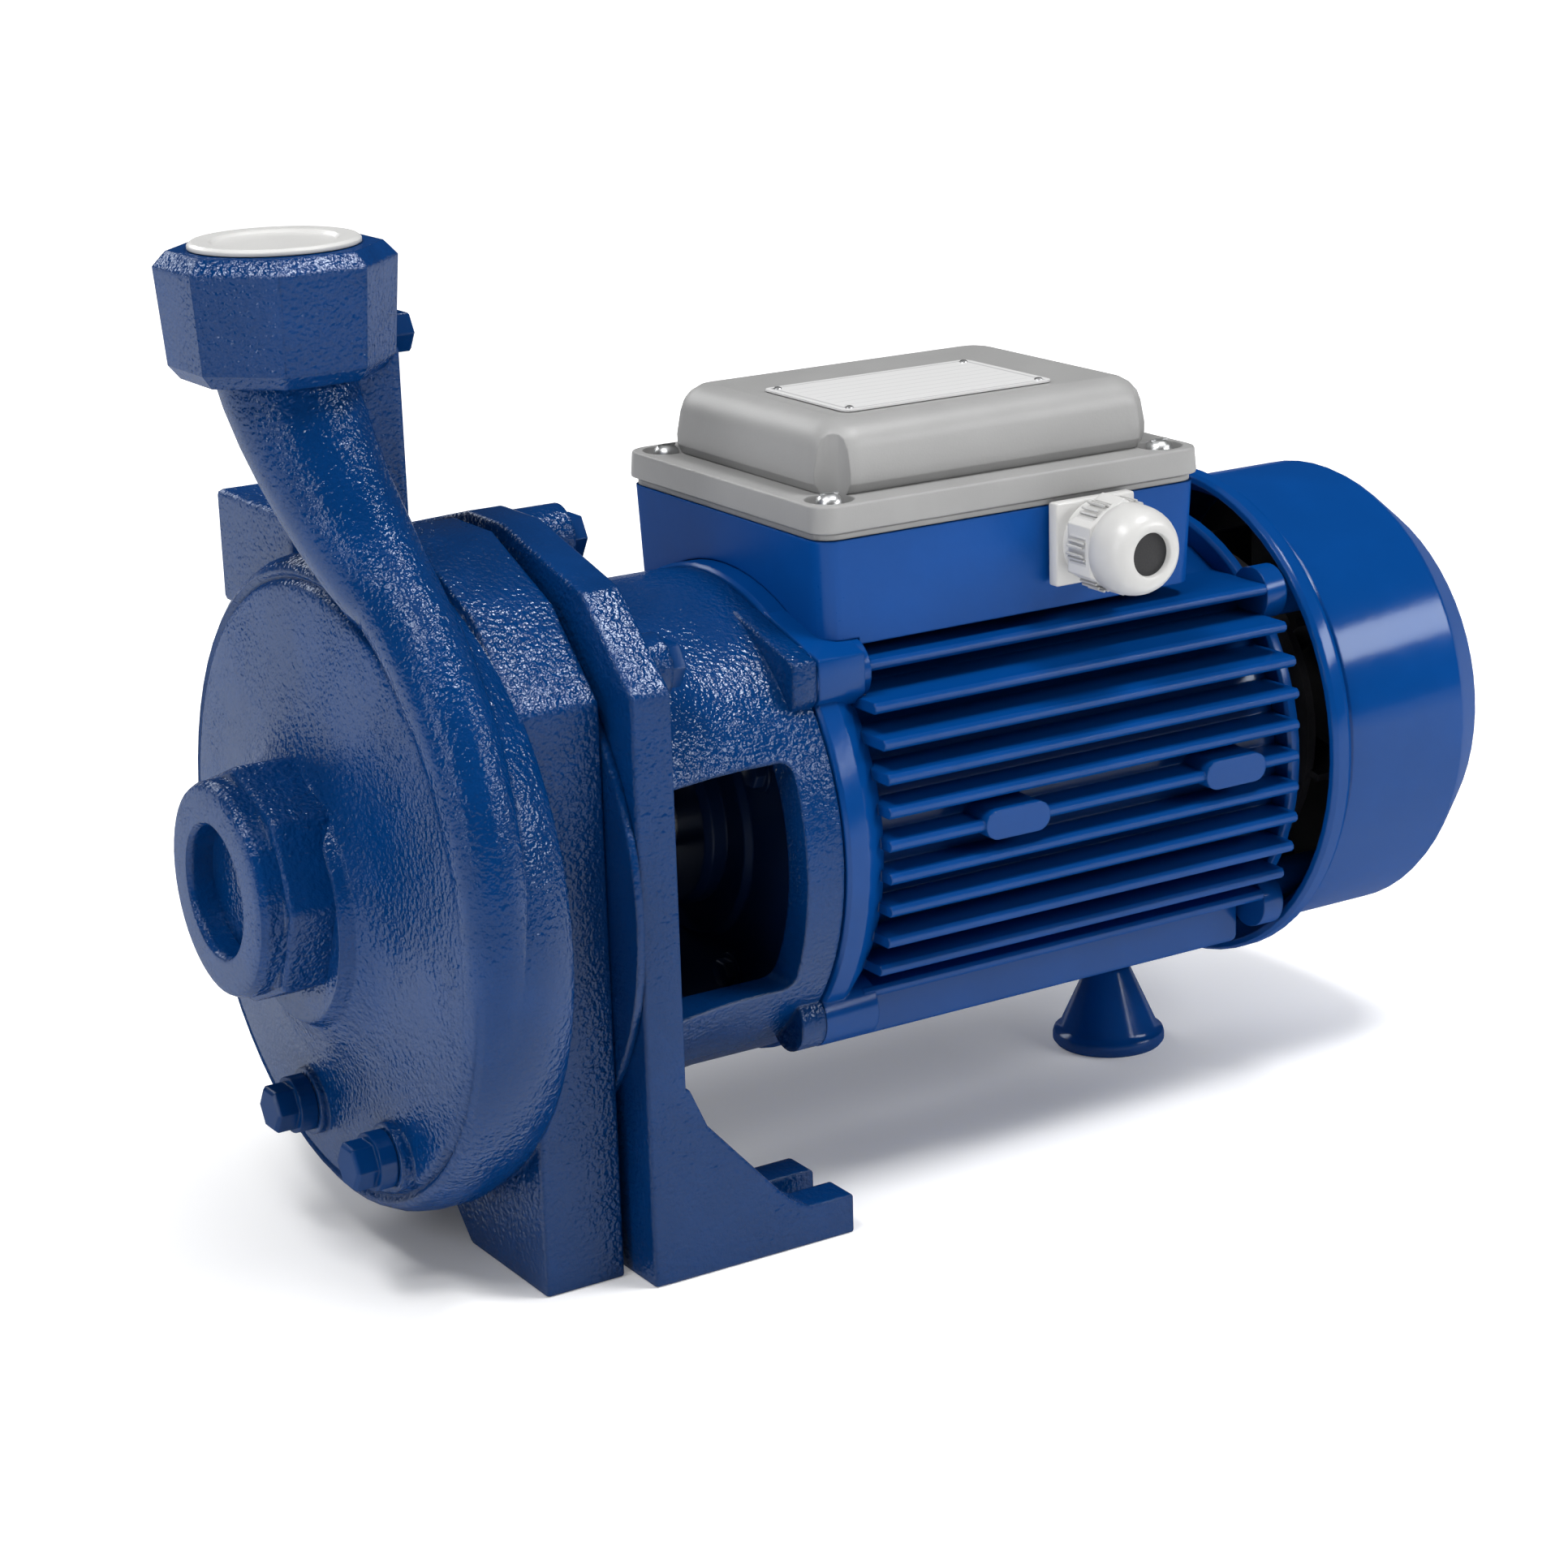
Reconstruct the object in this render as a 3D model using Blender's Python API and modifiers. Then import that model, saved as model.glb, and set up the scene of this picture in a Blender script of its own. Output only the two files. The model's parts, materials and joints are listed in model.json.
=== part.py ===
# Centrifugal water pump with a flanged electric motor, in metres, +Z up.
# +X runs along the shaft from the suction port to the fan cover; -Y is the cable gland side.
import math

import bmesh
import bpy
from mathutils import Matrix, Vector
from mathutils.geometry import interpolate_bezier

# Overall stations along the shaft, measured from the front face of the casing flange
SHAFT_HEIGHT = 0.114
SUCTION_FACE = -0.065
COVER_REAR = 0.368
GAP = 0.0003

# Pump casing
CASING_FLANGE_THICK = 0.0265
CASING_HALF_WIDTH = 0.072
CASING_CORNER_HEIGHT = 0.178
CASING_SHOULDER_HALF = 0.047
CASING_SHOULDER_HEIGHT = 0.202
CASING_CROWN_HEIGHT = 0.217
CASING_CROWN_HALF = 0.012
CASING_FOOT_INNER = 0.023
CASING_ARCH_HEIGHT = 0.009
VOLUTE_FACE = -0.0305
VOLUTE_RADIUS = 0.0995
VOLUTE_GROOVE_RADIUS = 0.0935
VOLUTE_BACK_RADIUS = 0.098
CHAMBER_RADIUS = 0.0665
CHAMBER_FRONT = -0.020
SUCTION_CENTRE_HEIGHT = 0.1205
SUCTION_CORNER_RADIUS = 0.0345
SUCTION_COLLAR_RADIUS = 0.0325
SUCTION_BORE_RADIUS = 0.0196
SUCTION_COLLAR_LENGTH = 0.0075
SUCTION_BOSS_REAR = -0.041
DISCHARGE_X = -0.0315
DISCHARGE_TOP = 0.3058
DISCHARGE_BOSS_HEIGHT = 0.0363
DISCHARGE_CORNER_RADIUS = 0.0345
DISCHARGE_BORE_RADIUS = 0.0196
DISCHARGE_BORE_DEPTH = 0.030
NECK_RADIUS = 0.0205
SPIRAL_X = -0.0205
SPIRAL_RADIUS = 0.0893
SPIRAL_GROWTH = 0.0150
SPIRAL_START_RADIUS = 0.0095
SPIRAL_END_RADIUS = 0.0130
SPIRAL_START_TURN = math.radians(-130.0)
SPIRAL_END_TURN = math.radians(-25.0)
CHANNEL_SHARE = 0.52
GUSSET_HALF_WIDTH = 0.0115
LUG_FAR_EDGE = 0.1014
LUG_TOP = 0.2165
LUG_DEPTH = 0.026
LUG_FRONT = -0.013

# Small parts on the casing
CAP_RADIUS = 0.0246
CAP_HEIGHT = 0.0018
CAP_RECESS_RADIUS = 0.0182
PLUG_HEIGHT = 0.043
PLUG_NEAR_Y = -0.041
PLUG_FAR_Y = 0.014
PLUG_LENGTH = 0.0125
PLUG_PAD_FACE = -0.0345
PLUG_PAD_RADIUS = 0.0105
PLUG_HEX_RADIUS = 0.0075
PLUG_COLLAR_RADIUS = 0.0088
PRIMING_PLUG_RADIUS = 0.0065
PRIMING_PLUG_LENGTH = 0.0095
PRIMING_PLUG_Y = 0.005
PRIMING_PLUG_DROP = 0.0295
PRIMING_PAD_RADIUS = 0.0085

# Casing cover, seal and rotor
COVER_PLATE_THICK = 0.0024
COVER_PLATE_RADIUS = 0.088
SEAL_HOUSING_RADIUS = 0.030
SEAL_HOUSING_LENGTH = 0.022
SHAFT_RADIUS = 0.0095
SHAFT_CLEARANCE = 0.0006
SLINGER_RADIUS = 0.017
SLINGER_THICK = 0.004
SLINGER_X = 0.066
IMPELLER_RADIUS = 0.060
IMPELLER_HUB_RADIUS = 0.017
IMPELLER_WIDTH = 0.016

# Motor bracket
BRACKET_FRONT = 0.0295
BRACKET_FLANGE_THICK = 0.0132
BRACKET_HALF_WIDTH = 0.085
BRACKET_CORNER_HEIGHT = 0.181
BRACKET_SHOULDER_HALF = 0.058
BRACKET_SHOULDER_HEIGHT = 0.2065
BRACKET_CROWN_HEIGHT = 0.2185
BRACKET_CROWN_HALF = 0.012
BRACKET_BORE_RADIUS = 0.064
BRACKET_REAR = 0.105
LANTERN_RADIUS = 0.0772
LANTERN_ROOT_RADIUS = 0.083
LANTERN_BORE_RADIUS = 0.0662
WINDOW_END = 0.0915
WINDOW_TOP = 0.148
WINDOW_BOTTOM = 0.076
FOOT_LENGTH_END = 0.0998
FOOT_INNER = 0.049
FOOT_TAB_THICK = 0.0125
FOOT_WEB_HEIGHT = 0.060
FOOT_SLOT_WIDTH = 0.011
FOOT_SLOT_START = 0.080
BOLT_CIRCLE_RADIUS = 0.0765
BOLT_LUG_RADIUS = 0.0095
UPPER_LUG_LENGTH = 0.019
LOWER_LUG_LENGTH = 0.0085
CROWN_BOSS_RADIUS = 0.0105
CROWN_BOSS_Y = 0.010
CROWN_BOSS_END = 0.060
CORNER_BOSS_RADIUS = 0.0100
CORNER_BOSS_END = 0.0485

# Motor
MOTOR_FRONT = 0.1053
MOTOR_FLANGE_END = 0.1215
MOTOR_FLANGE_RADIUS = 0.0782
MOTOR_REAR = 0.279
BARREL_RADIUS = 0.0665
FIN_COUNT = 11
FIN_PITCH = 0.0104
FIN_THICK = 0.0034
FIN_REACH = 0.0785
FIN_MIDDLE_HEIGHT = 0.1175
RAIL_TOP = 0.060
RAIL_BOTTOM = 0.0465
RAIL_OUTER = 0.050
RAIL_INNER = 0.028
RAIL_FRONT = 0.1125
SHIELD_THICK = 0.0095
SHIELD_GAP = 0.0006
SHIELD_RADIUS = 0.0655
SHIELD_HUB_RADIUS = 0.028
REAR_SHIELD_RADIUS = 0.0735
REAR_SHIELD_THICK = 0.011
REAR_LUG_CIRCLE = 0.0745
REAR_LUG_RADIUS = 0.0088
COVER_TAB_RADIUS = 0.006
COVER_TAB_END = 0.312
PAD_LENGTH = 0.024
PAD_HALF_HEIGHT = 0.0047
PAD_FRONT_X = 0.167
PAD_REAR_X = 0.2525

# Fan cover and fan
FAN_COVER_FRONT = 0.2895
FAN_COVER_LIP_RADIUS = 0.0842
FAN_COVER_RADIUS = 0.0778
FAN_COVER_CONE_START = 0.350
FAN_COVER_REAR_RADIUS = 0.0655
FAN_COVER_WALL = 0.0018
GRILLE_SLOTS = 28
GRILLE_INNER_RADIUS = 0.018
GRILLE_OUTER_RADIUS = 0.056
GRILLE_SLOT_WIDTH = 0.0032
FAN_X = 0.302
FAN_RADIUS = 0.060
FAN_WIDTH = 0.022
FAN_BLADES = 7

# Terminal box
BOX_FRONT = 0.1115
BOX_REAR = 0.2545
BOX_HALF_WIDTH = 0.0575
BOX_BOTTOM = 0.1755
BOX_RIM = 0.2085
BOX_DRAFT = 0.0012
GASKET_THICK = 0.0018
LID_RIM_THICK = 0.0085
LID_TOP = 0.2415
LID_OVERHANG = 0.0012
LID_DOME_INSET = 0.0085
LID_DOME_ROUNDING = 0.0085
LID_CORNER = 0.007
PLATE_LENGTH = 0.078
PLATE_WIDTH = 0.048
PLATE_X = 0.175
PLATE_Y = -0.011
PLATE_THICK = 0.0006
GLAND_X = 0.2085
GLAND_HEIGHT = 0.1943
GLAND_PLATE_SIDE = 0.031
GLAND_PLATE_THICK = 0.005
GLAND_HEX_RADIUS = 0.0165
GLAND_HEX_LENGTH = 0.011
GLAND_NUT_RADIUS = 0.0165
GLAND_NUT_LENGTH = 0.022
GLAND_BORE_RADIUS = 0.0062

# Support foot
PROP_X = 0.261
PROP_RADIUS = 0.0193
PROP_TOP_RADIUS = 0.0068
PROP_HEIGHT = 0.0275
PROP_LIP_HEIGHT = 0.0052
PROP_STUD_RADIUS = 0.004

ROUND_STEPS = 64
SMALL_STEPS = 32
FLAT_SIDES = 8
SHIFT_X = -0.5 * (SUCTION_FACE + COVER_REAR)
SHARP_ANGLE = math.radians(35.0)
ALONG_SHAFT = Matrix(((0, 0, 1, 0), (1, 0, 0, 0), (0, 1, 0, 0), (0, 0, 0, 1)))

for old in list(bpy.data.objects):
    bpy.data.objects.remove(old)


def collection(name, parent=None):
    home = bpy.data.collections.new(name)
    (parent or bpy.context.scene.collection).children.link(home)
    return home


PUMP = collection("centrifugal_pump")
TOOLS = collection("shaping_tools")


def tool_group(name):
    return collection(name, TOOLS)


def along(x, y=0.0, z=SHAFT_HEIGHT):
    return Matrix.Translation(Vector((x + SHIFT_X, y, z)))


def material(name, colour, roughness, metallic):
    made = bpy.data.materials.new(name)
    made.use_nodes = True
    shader = made.node_tree.nodes["Principled BSDF"]
    shader.inputs["Base Color"].default_value = (*colour, 1.0)
    shader.inputs["Roughness"].default_value = roughness
    shader.inputs["Metallic"].default_value = metallic
    return made


def adopt(mesh, name, place, home):
    piece = bpy.data.objects.new(name, mesh)
    home.objects.link(piece)
    piece.matrix_world = place
    if home is not PUMP:
        piece.hide_render = True
        piece.display_type = "WIRE"
    return piece


def smooth(mesh):
    mesh.shade_smooth()
    mesh.set_sharp_from_angle(angle=SHARP_ANGLE)


def turned(name, profile, place, home, closed=False, steps=ROUND_STEPS):
    # Profile points are (radius, height), down the outer side
    mesh = bpy.data.meshes.new(name)
    points = [(radius, 0.0, height) for radius, height in profile]
    edges = [(i, i + 1) for i in range(len(points) - 1)]
    if closed:
        edges.append((len(points) - 1, 0))
    mesh.from_pydata(points, edges, [])
    piece = adopt(mesh, name, place, home)
    screw = piece.modifiers.new("Turn", "SCREW")
    screw.steps = steps
    screw.render_steps = steps
    screw.use_merge_vertices = True
    screw.merge_threshold = 0.00001
    screw.use_smooth_shade = steps > FLAT_SIDES
    return piece


def shaft_turned(name, profile, home, closed=False, steps=ROUND_STEPS, y=0.0, z=SHAFT_HEIGHT):
    # Profile points are (radius, station along the shaft), rear to front
    return turned(name, profile, along(0.0, y, z) @ ALONG_SHAFT, home, closed, steps)


def rod(name, radius, start, end, home, y=0.0, z=SHAFT_HEIGHT, steps=SMALL_STEPS):
    profile = [(0.0, end), (radius, end), (radius, start), (0.0, start)]
    return shaft_turned(name, profile, home, False, steps, y, z)


def diagonal_places(radius):
    # The four (y, z) places round the shaft, halfway between upright and level
    offset = radius * math.sqrt(0.5)
    return [(sign_y * offset, SHAFT_HEIGHT + sign_z * offset) for sign_y in (1, -1) for sign_z in (1, -1)]


def upright(name, profile, x, y, home, closed=False, steps=SMALL_STEPS):
    return turned(name, profile, along(x, y, 0.0), home, closed, steps)


def slab(name, outline, depth, place, home):
    # Flat outline in the local plane, extruded both ways from its middle
    curve = bpy.data.curves.new(name, "CURVE")
    curve.dimensions = "2D"
    curve.fill_mode = "BOTH"
    curve.extrude = depth / 2
    spline = curve.splines.new("POLY")
    spline.points.add(len(outline) - 1)
    for point, (u, v) in zip(spline.points, outline):
        point.co = (u, v, 0.0, 1.0)
    spline.use_cyclic_u = True
    sketch = bpy.data.objects.new(name + "_sketch", curve)
    bpy.context.scene.collection.objects.link(sketch)
    depsgraph = bpy.context.evaluated_depsgraph_get()
    mesh = bpy.data.meshes.new_from_object(sketch.evaluated_get(depsgraph))
    bpy.data.objects.remove(sketch)
    weld(mesh)
    return adopt(mesh, name, place, home)


def weld(mesh):
    shape = bmesh.new()
    shape.from_mesh(mesh)
    bmesh.ops.remove_doubles(shape, verts=shape.verts, dist=0.00001)
    bmesh.ops.recalc_face_normals(shape, faces=shape.faces)
    shape.to_mesh(mesh)
    shape.free()


def cross_slab(name, outline, start, end, home):
    # Outline in (y, z), extruded along the shaft between two stations
    place = along((start + end) / 2, 0.0, 0.0) @ ALONG_SHAFT
    return slab(name, outline, end - start, place, home)


def block(name, low, high, home):
    mesh = bpy.data.meshes.new(name)
    shape = bmesh.new()
    bmesh.ops.create_cube(shape, size=1.0)
    size = Vector(high) - Vector(low)
    bmesh.ops.scale(shape, vec=size, verts=shape.verts)
    shape.to_mesh(mesh)
    shape.free()
    middle = (Vector(high) + Vector(low)) / 2
    return adopt(mesh, name, along(*middle), home)


def prism(name, corners, profile, place, home):
    # Faceted turning: a polygon section with (radius, height) stations
    return turned(name, profile, place, home, False, corners)


def rounded_rectangle(half_x, half_y, corner, steps=5):
    points = []
    centres = ((1, 1, 0), (-1, 1, 90), (-1, -1, 180), (1, -1, 270))
    for sign_x, sign_y, start in centres:
        for i in range(steps + 1):
            angle = math.radians(start + 90 * i / steps)
            u = sign_x * (half_x - corner) + corner * math.cos(angle)
            v = sign_y * (half_y - corner) + corner * math.sin(angle)
            points.append((u, v))
    return points


def bevel(piece, width, segments=2, angle=40.0):
    edge = piece.modifiers.new("Edge", "BEVEL")
    edge.width = width
    edge.segments = segments
    edge.limit_method = "ANGLE"
    edge.angle_limit = math.radians(angle)
    return piece


def combine(piece, group, operation):
    step = piece.modifiers.new(operation.title(), "BOOLEAN")
    step.operation = operation
    step.operand_type = "COLLECTION"
    step.collection = group
    step.solver = "EXACT"


def finish(piece, finish_material):
    piece.data.materials.clear()
    piece.data.materials.append(finish_material)
    if piece.data.polygons:
        smooth(piece.data)
    return piece


def flange_outline(half, corner_z, shoulder, shoulder_z, crown, crown_z, foot_in, arch):
    side = [(foot_in, 0.0), (half, 0.0), (half, corner_z), (shoulder, shoulder_z), (crown, crown_z)]
    near = [(-y, z) for y, z in reversed(side)]
    return side + near + [(-foot_in + arch, arch), (foot_in - arch, arch)]


def pump_body(finish_material):
    adds = tool_group("casing_adds")
    cuts = tool_group("casing_cuts")
    outline = flange_outline(CASING_HALF_WIDTH, CASING_CORNER_HEIGHT, CASING_SHOULDER_HALF,
                             CASING_SHOULDER_HEIGHT, CASING_CROWN_HALF, CASING_CROWN_HEIGHT,
                             CASING_FOOT_INNER, CASING_ARCH_HEIGHT)
    body = cross_slab("pump_body", outline, 0.0, CASING_FLANGE_THICK, PUMP)
    bevel(body, 0.0012)
    volute_shell(adds)
    suction_boss(adds)
    discharge_boss(adds)
    discharge_pipe(adds)
    casing_lug(adds)
    combine(body, adds, "UNION")
    casing_hollows(cuts)
    combine(body, cuts, "DIFFERENCE")
    return finish(body, finish_material)


def volute_shell(adds):
    face = VOLUTE_FACE
    groove = VOLUTE_GROOVE_RADIUS
    outer = VOLUTE_RADIUS
    inside = 0.002
    profile = [(0.0, inside), (VOLUTE_BACK_RADIUS - 0.003, inside), (VOLUTE_BACK_RADIUS, -inside),
               (outer + 0.001, -0.010), (outer + 0.001, face + 0.013), (outer, face + 0.007),
               (outer - 0.002, face + 0.003), (groove + 0.002, face + 0.0015),
               (groove, face + 0.003), (groove - 0.0016, face + 0.0008), (groove - 0.004, face),
               (0.075, face - 0.0012), (0.055, face - 0.0030), (0.046, face - 0.0052),
               (0.040, face - 0.0085), (0.0375, SUCTION_BOSS_REAR - 0.002),
               (0.0, SUCTION_BOSS_REAR - 0.002)]
    shaft_turned("volute_shell", profile, adds, steps=ROUND_STEPS)


def discharge_pipe(adds):
    swept("discharge_pipe", spiral_route() + neck_route(), 1.0, adds)
    rear = DISCHARGE_X + DISCHARGE_CORNER_RADIUS * math.cos(math.radians(22.5))
    low = (DISCHARGE_X + NECK_RADIUS / 2, -GUSSET_HALF_WIDTH, CASING_SHOULDER_HEIGHT)
    high = (rear, GUSSET_HALF_WIDTH, DISCHARGE_TOP - DISCHARGE_BOSS_HEIGHT + 0.006)
    bevel(block("neck_gusset", low, high, adds), 0.002)


def spiral_route():
    # Points (x, y, z, radius) of the pipe as it grows round the near side of the casing
    route = []
    count = 14
    for i in range(count):
        share = i / count
        turn = SPIRAL_START_TURN + share * (SPIRAL_END_TURN - SPIRAL_START_TURN)
        grown = share ** 2
        radius = SPIRAL_START_RADIUS + grown * (SPIRAL_END_RADIUS - SPIRAL_START_RADIUS)
        route.append((*spiral_point(turn, grown), radius))
    return route


def spiral_point(turn, grown):
    reach = SPIRAL_RADIUS + SPIRAL_GROWTH * grown
    return Vector((SPIRAL_X, reach * math.sin(turn), SHAFT_HEIGHT + reach * math.cos(turn)))


def neck_route():
    # The pipe leaves the spiral straight on and turns up under the discharge port
    foot = spiral_point(SPIRAL_END_TURN, 1.0)
    ahead = Vector((-0.001, 0.018 * math.cos(SPIRAL_END_TURN), -0.018 * math.sin(SPIRAL_END_TURN)))
    top = Vector((DISCHARGE_X, 0.0, DISCHARGE_TOP - DISCHARGE_BOSS_HEIGHT + 0.004))
    below = Vector((0.0, -0.006, -0.022))
    count = 9
    points = interpolate_bezier(foot, foot + ahead, top + below, top, count)
    route = []
    for i, point in enumerate(points):
        share = i / (count - 1)
        radius = SPIRAL_END_RADIUS + (NECK_RADIUS - SPIRAL_END_RADIUS) * share ** 0.8
        route.append((*point, radius))
    return route


def swept(name, route, scale, home):
    # Round section of varying radius along a route of (x, y, z, radius) points
    curve = bpy.data.curves.new(name, "CURVE")
    curve.dimensions = "3D"
    curve.bevel_depth = scale
    curve.bevel_resolution = 6
    curve.use_fill_caps = True
    spline = curve.splines.new("POLY")
    spline.points.add(len(route) - 1)
    for point, (x, y, z, radius) in zip(spline.points, route):
        point.co = (x, y, z, 1.0)
        point.radius = radius
    mesh_from_curve(curve, name, along(0.0, 0.0, 0.0), home)


def mesh_from_curve(curve, name, place, home):
    sketch = bpy.data.objects.new(name + "_sketch", curve)
    bpy.context.scene.collection.objects.link(sketch)
    depsgraph = bpy.context.evaluated_depsgraph_get()
    mesh = bpy.data.meshes.new_from_object(sketch.evaluated_get(depsgraph))
    bpy.data.objects.remove(sketch)
    weld(mesh)
    return adopt(mesh, name, place, home)


def suction_boss(adds):
    front = SUCTION_FACE
    collar = SUCTION_COLLAR_LENGTH
    corner = SUCTION_CORNER_RADIUS
    boss = [(0.0, SUCTION_BOSS_REAR + 0.006), (corner, SUCTION_BOSS_REAR + 0.006),
            (corner, front + collar), (0.0, front + collar)]
    prism("suction_octagon", 8, boss, along(0.0, 0.0, SUCTION_CENTRE_HEIGHT) @ ALONG_SHAFT, adds)
    round_radius = SUCTION_COLLAR_RADIUS
    ring = [(0.0, front + 0.012), (round_radius, front + 0.012), (round_radius, front + 0.003),
            (round_radius - 0.0012, front + 0.0008), (round_radius - 0.0035, front), (0.0, front)]
    shaft_turned("suction_collar", ring, adds, steps=48, z=SUCTION_CENTRE_HEIGHT)


def discharge_boss(adds):
    top = DISCHARGE_TOP
    low = top - DISCHARGE_BOSS_HEIGHT
    corner = DISCHARGE_CORNER_RADIUS
    boss = [(0.0, top), (corner - 0.004, top), (corner - 0.0025, top - 0.0015),
            (corner, top - 0.0042), (corner - 0.0022, low + 0.004), (corner - 0.0055, low), (0.0, low)]
    eighth = Matrix.Rotation(math.radians(22.5), 4, "Z")
    prism("discharge_octagon", 8, boss, along(DISCHARGE_X, 0.0, 0.0) @ eighth, adds)
    pad_face = DISCHARGE_X + corner * math.cos(math.radians(22.5))
    rod("priming_pad", PRIMING_PAD_RADIUS, DISCHARGE_X + 0.024, pad_face, adds,
        PRIMING_PLUG_Y, top - PRIMING_PLUG_DROP)


def casing_lug(adds):
    low = (LUG_FRONT, 0.045, LUG_TOP - 0.036)
    high = (LUG_FRONT + LUG_DEPTH, LUG_FAR_EDGE, LUG_TOP)
    bevel(block("far_lug", low, high, adds), 0.002)
    for y in (PLUG_NEAR_Y, PLUG_FAR_Y):
        rod("plug_pad", PLUG_PAD_RADIUS, PLUG_PAD_FACE, VOLUTE_FACE + 0.004, adds, y, PLUG_HEIGHT)


def casing_hollows(cuts):
    back = CASING_FLANGE_THICK + 0.002
    chamber = [(0.0, back), (CHAMBER_RADIUS, back), (CHAMBER_RADIUS, CHAMBER_FRONT + 0.004),
               (CHAMBER_RADIUS - 0.006, CHAMBER_FRONT), (0.0, CHAMBER_FRONT)]
    shaft_turned("chamber_cut", chamber, cuts)
    bore = [(0.0, CHAMBER_FRONT + 0.001), (SUCTION_BORE_RADIUS, CHAMBER_FRONT + 0.001),
            (SUCTION_BORE_RADIUS, SUCTION_FACE + 0.0015),
            (SUCTION_BORE_RADIUS + 0.0015, SUCTION_FACE - 0.0005), (0.0, SUCTION_FACE - 0.0005)]
    shaft_turned("suction_cut", bore, cuts, steps=48, z=SUCTION_CENTRE_HEIGHT)
    mouth = DISCHARGE_TOP + 0.002
    floor = DISCHARGE_TOP - DISCHARGE_BORE_DEPTH
    port = [(0.0, mouth), (DISCHARGE_BORE_RADIUS, mouth), (DISCHARGE_BORE_RADIUS, floor),
            (0.0, floor)]
    upright("discharge_cut", port, DISCHARGE_X, 0.0, cuts)
    swept("channel_cut", channel_route(), CHANNEL_SHARE, cuts)


def channel_route():
    # Water way from the chamber up the middle of the pipe to the port
    inlet_turn = SPIRAL_END_TURN
    inlet = CHAMBER_RADIUS - 0.008
    low = Vector((-0.010, inlet * math.sin(inlet_turn), SHAFT_HEIGHT + inlet * math.cos(inlet_turn)))
    neck = neck_route()
    mouth = (DISCHARGE_X, 0.0, DISCHARGE_TOP - DISCHARGE_BORE_DEPTH + 0.001, NECK_RADIUS)
    return [(*low, SPIRAL_END_RADIUS)] + neck[1:] + [mouth]


def drain_plugs(finish_material):
    made = []
    for name, y in (("drain_plug_near", PLUG_NEAR_Y), ("drain_plug_far", PLUG_FAR_Y)):
        base = PLUG_PAD_FACE - GAP
        tip = base - PLUG_LENGTH
        place = along(0.0, y, PLUG_HEIGHT) @ ALONG_SHAFT
        head = [(0.0, base - 0.004), (PLUG_HEX_RADIUS, base - 0.004), (PLUG_HEX_RADIUS, tip + 0.001),
                (PLUG_HEX_RADIUS - 0.001, tip), (0.0, tip)]
        collar = tool_group(name + "_collar")
        rod(name + "_seat", PLUG_COLLAR_RADIUS, base - 0.0055, base, collar, y, PLUG_HEIGHT)
        plug = prism(name, 6, head, place, PUMP)
        combine(plug, collar, "UNION")
        made.append(finish(plug, finish_material))
    return made


def priming_plug(finish_material):
    seat = DISCHARGE_X + DISCHARGE_CORNER_RADIUS * math.cos(math.radians(22.5)) + GAP
    tip = seat + PRIMING_PLUG_LENGTH
    radius = PRIMING_PLUG_RADIUS
    profile = [(0.0, tip), (radius - 0.0008, tip), (radius, tip - 0.0008), (radius, seat), (0.0, seat)]
    place = along(0.0, PRIMING_PLUG_Y, DISCHARGE_TOP - PRIMING_PLUG_DROP) @ ALONG_SHAFT
    return finish(prism("priming_plug", 6, profile, place, PUMP), finish_material)


def discharge_cap(finish_material):
    top = DISCHARGE_TOP + GAP + CAP_HEIGHT
    base = DISCHARGE_TOP + GAP
    floor = base + 0.0008
    profile = [(0.0, floor), (CAP_RECESS_RADIUS - 0.001, floor), (CAP_RECESS_RADIUS, top - 0.0002),
               (CAP_RECESS_RADIUS + 0.0008, top), (CAP_RADIUS - 0.0010, top),
               (CAP_RADIUS, top - 0.0008), (CAP_RADIUS, base), (0.0, base)]
    return finish(upright("discharge_cap", profile, DISCHARGE_X, 0.0, PUMP, False, 48), finish_material)


def casing_cover(finish_material):
    front = CASING_FLANGE_THICK + GAP
    back = front + COVER_PLATE_THICK
    hub = SEAL_HOUSING_RADIUS
    bore = SHAFT_RADIUS + SHAFT_CLEARANCE
    end = BRACKET_FRONT + SEAL_HOUSING_LENGTH
    profile = [(bore, end), (hub - 0.002, end), (hub, end - 0.002), (hub, back + 0.003),
               (hub + 0.004, back), (COVER_PLATE_RADIUS, back), (COVER_PLATE_RADIUS, front),
               (bore, front)]
    return finish(shaft_turned("casing_cover", profile, PUMP, True), finish_material)


def impeller(finish_material):
    back = CASING_FLANGE_THICK - 0.004
    front = back - IMPELLER_WIDTH
    bore = SHAFT_RADIUS + GAP
    profile = [(bore, back), (IMPELLER_RADIUS, back), (IMPELLER_RADIUS, back - 0.004),
               (IMPELLER_HUB_RADIUS + 0.006, back - 0.005), (IMPELLER_HUB_RADIUS, back - 0.010),
               (IMPELLER_HUB_RADIUS - 0.002, front), (bore, front)]
    wheel = shaft_turned("impeller", profile, PUMP, True)
    vanes = tool_group("impeller_vanes")
    length = IMPELLER_RADIUS - IMPELLER_HUB_RADIUS - 0.003
    for i in range(6):
        turn = Matrix.Rotation(math.radians(60.0 * i), 4, "X")
        vane = block("impeller_vane", (0.0, 0.0, 0.0), (0.010, 0.003, length), vanes)
        offset = Matrix.Translation((back - 0.0085, 0.0, IMPELLER_RADIUS - 0.004 - length / 2))
        vane.matrix_world = along(0.0) @ turn @ offset @ Matrix.Rotation(math.radians(35), 4, "X")
    combine(wheel, vanes, "UNION")
    return finish(wheel, finish_material)


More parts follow.
